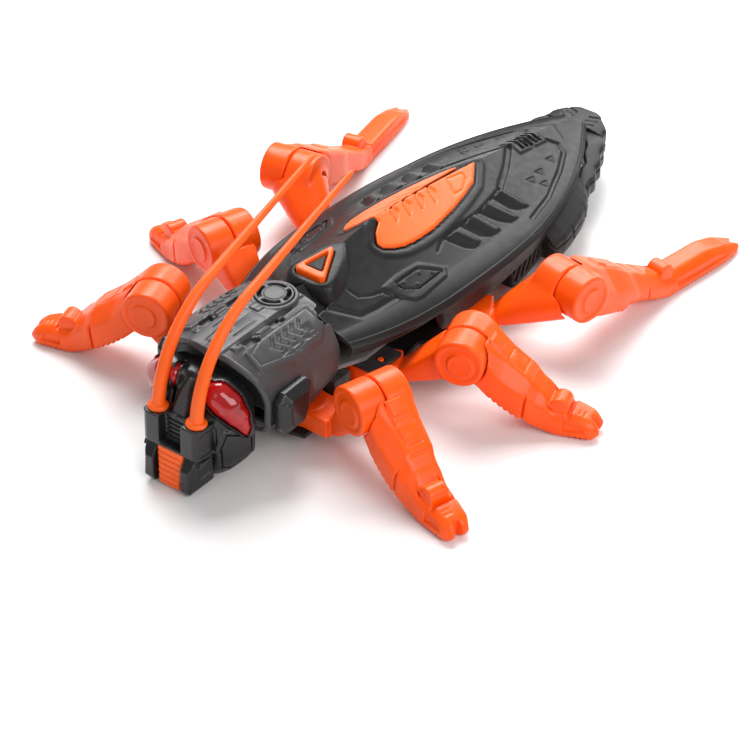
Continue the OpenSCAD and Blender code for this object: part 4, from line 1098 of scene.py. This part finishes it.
def build_eyes():
    clay = Clay((128, 3.6, 23.6), (145.5, 27.2, 52), 0.35)
    clay.add(eye_shape(clay.p))
    # Room for the lamp behind the lens
    clay.cut(drum(clay.p, 0, (132, 13, 42), 2.2, 4.5, 0.5), 0.4)
    place_both(from_clay("lens_left", clay, 1.0), "red_lens", "eye_left")


def build_jaws():
    clay = Clay((143, 6.6, 0), (158.6, 16, 21), 0.35)
    x, y, z = p = clay.p
    edge = outline(x, z, [(144.1, 19.4), (152.6, 20.1), (157.2, 13.6), (157.2, 3.2), (155.6, 0.7),
                          (153.6, 0.9), (149, 2.2), (144.1, 5.4)])
    clay.add(meet(meet(edge, y - 14.8, 0.3), 7.3 - y, 0.3))
    # The front bevel turns outwards, and the side thins towards the tip
    clay.keep(half_space(p, (157.0, 12.4, 12), (0.19, 0.98, 0)), 0.3)
    clay.keep(half_space(p, (157.2, 11.2, 12), (0.72, 0.69, 0.05)), 0.3)
    clay.keep(half_space(p, (150, 13.8, 4.5), (0.05, 0.80, -0.60)), 0.4)
    panel = outline(x, z, [(145.6, 9.6), (151.4, 8.0), (152.8, 13.8), (145.6, 15.4)])
    clay.cut(meet(panel, 12.6 - y + 0.19 * (152 - x), 0.3), 0.3)
    lip = outline(x, z, [(145.2, 17.6), (152.2, 18.2), (153.6, 15.6), (145.2, 16.8)])
    clay.add(meet(meet(lip, y - 15.2, 0.3), 12 - y, 0.2), 0.3)
    place_both(from_clay("jaw_left", clay, 0.5), "head_black", "mandibles")


def build_mouth():
    clay = Clay((143.5, -8, 0.4), (158, 8, 21), 0.35)
    x, y, z = clay.p
    side = abs(y)
    front = 154.6 + (19.7 - z) * 0.105 - 0.035 * np.maximum(0, side - 3.6) ** 2
    wide = 6.9 - 0.10 * np.maximum(0, 17 - z)
    body = meet(meet(x - front, side - wide, 1.0), abs(z - 10.6) - 9.0, 0.8)
    clay.add(meet(body, 144.1 - x, 0.3))
    for k in range(6):
        clay.cut(meet(abs(z - 3.4 - 2.7 * k) - 0.28, front - 0.55 - x, 0.2), 0.35)
    clay.cut(meet(abs(side - 3.9) - 0.2, front - 0.3 - x, 0.15), 0.3)
    place(from_clay("mouth_piece", clay, 0.5), "orange_trim", "mouth_insert")


def feeler_turn(s):
    """Direction of a feeler at a length along it, as an angle up from the front."""
    return math.radians(93 + 69 * min(1, max(0, (s - 6) / 64)))


def build_feelers():
    """Feelers: rings swept along the bend, with a flanged collar where they leave their sockets."""
    at, radii = zip(*[(0, 3.1), (7.7, 3.1), (7.9, 4.3), (8.5, 4.6), (9.3, 4.6), (9.9, 4.2), (10.3, 3.3),
                      (12, 2.95), (30, 2.75), (70, 2.15), (110, 1.6), (FEELER_LONG - 2, 1.25),
                      (FEELER_LONG - 0.6, 0.9), (FEELER_LONG, 0.3)])
    stops = sorted(set(at + tuple(range(14, FEELER_LONG - 2, 2))))
    ring = 24
    points, (x, z), before = [], FEELER_ROOT, 0
    for s in stops:
        steps = max(1, int(round((s - before) * 2)))
        length = (s - before) / steps
        for k in range(steps):
            turn = feeler_turn(before + (s - before) * (k + 0.5) / steps)
            x += length * math.cos(turn)
            z += length * math.sin(turn)
        before = s
        turn = feeler_turn(s)
        r = float(np.interp(s, at, radii))
        for k in range(ring):
            a = 2 * math.pi * k / ring
            out = r * math.cos(a)
            points.append((x + out * math.sin(turn), FEELER_Y + r * math.sin(a), z - out * math.cos(turn)))
    faces = [tuple(range(ring)), tuple(reversed(range(len(points) - ring, len(points))))]
    for i in range(len(stops) - 1):
        for k in range(ring):
            a, b = i * ring + k, i * ring + (k + 1) % ring
            faces.append((a, a + ring, b + ring, b))
    left = make_mesh("feeler_left", points, faces)
    place_both(left, "orange_trim", "antenna_left")


# ---------- stage, light and camera ----------
CAMERA_AT = (838.3, 624.4, 767.0)
CAMERA_AIM = (73.7, 45.3, 30.0)
CAMERA_ROLL = -0.12
CAMERA_LENS = 138.05
FLOOR_HALF = 3000
LIGHTS_AIM = (0, 0, 30)
# Each soft light: its place, its width and height in millimetres, and its power in watts
LIGHTS = {
    "key": ((-380, -430, 950), (700, 700), 17),
    "left": ((250, 850, 650), (800, 500), 6),
    "front": ((900, 100, 500), (500, 500), 0.8),
    "tail": ((-800, -100, 500), (600, 400), 5),
}


def look(obj, at, aim, roll=0.0):
    """Stands an object at a point and turns its -Z towards another, both in millimetres."""
    obj.location = Vector(at) * MM
    turn = (Vector(aim) - Vector(at)).to_track_quat("-Z", "Y")
    obj.rotation_euler = (turn.to_matrix() @ Matrix.Rotation(math.radians(roll), 3, "Z")).to_euler()


def area_light(name, at, size, power):
    light = bpy.data.lights.new(name, "AREA")
    light.shape = "RECTANGLE"
    light.size, light.size_y = size[0] * MM, size[1] * MM
    light.energy = power
    look(add_object(name, light), at, LIGHTS_AIM)


def build_stage():
    n = Nodes("floor_white")
    n.set("Base Color", n.mix(n.noise(90, 2), (0.80, 0.80, 0.80, 1), (0.82, 0.82, 0.82, 1)))
    n.set("Roughness", 0.75)
    n.set("Normal", n.bump(n.noise(1.5, 2), 0.01))
    corners = [(u * FLOOR_HALF, v * FLOOR_HALF, 0) for u, v in ((-1, -1), (1, -1), (1, 1), (-1, 1))]
    floor = make_mesh("floor", corners, [(0, 1, 2, 3)])
    floor.data.materials.append(n.material)
    world = bpy.data.worlds.new("studio")
    world.use_nodes = True
    background = world.node_tree.nodes["Background"]
    background.inputs["Color"].default_value = (1, 1, 1, 1)
    background.inputs["Strength"].default_value = 0.33
    scene = bpy.context.scene
    scene.world = world
    scene.view_settings.view_transform = "Standard"
    for name, facts in LIGHTS.items():
        area_light(name, *facts)
    camera = bpy.data.cameras.new("camera")
    camera.sensor_width = 36
    camera.lens = CAMERA_LENS
    camera.clip_start, camera.clip_end = 0.05, 20
    scene.camera = add_object("camera", camera)
    look(scene.camera, CAMERA_AT, CAMERA_AIM, CAMERA_ROLL)


def finish_frame():
    """Every CAD node that stays visible takes the look of its material slot."""
    for row in frame["record"]["subparts"]:
        node = frame["nodes"][row["node"]]
        if not node.hide_render:
            for slot in node.material_slots:
                slot.material = SLOT_LOOKS[row["material_slot"]]


for build in (build_shell, build_panel, build_hatches, build_button, build_tail, build_flanks,
              build_thorax, build_speaker, build_fenders, build_head, build_nose, build_eyes, build_jaws,
              build_mouth, build_feelers):
    build()
for leg_name, leg_facts in LEGS.items():
    build_arm(leg_name, leg_facts)
    build_shin(leg_name, leg_facts)
finish_frame()
build_stage()
bpy.context.view_layer.update()
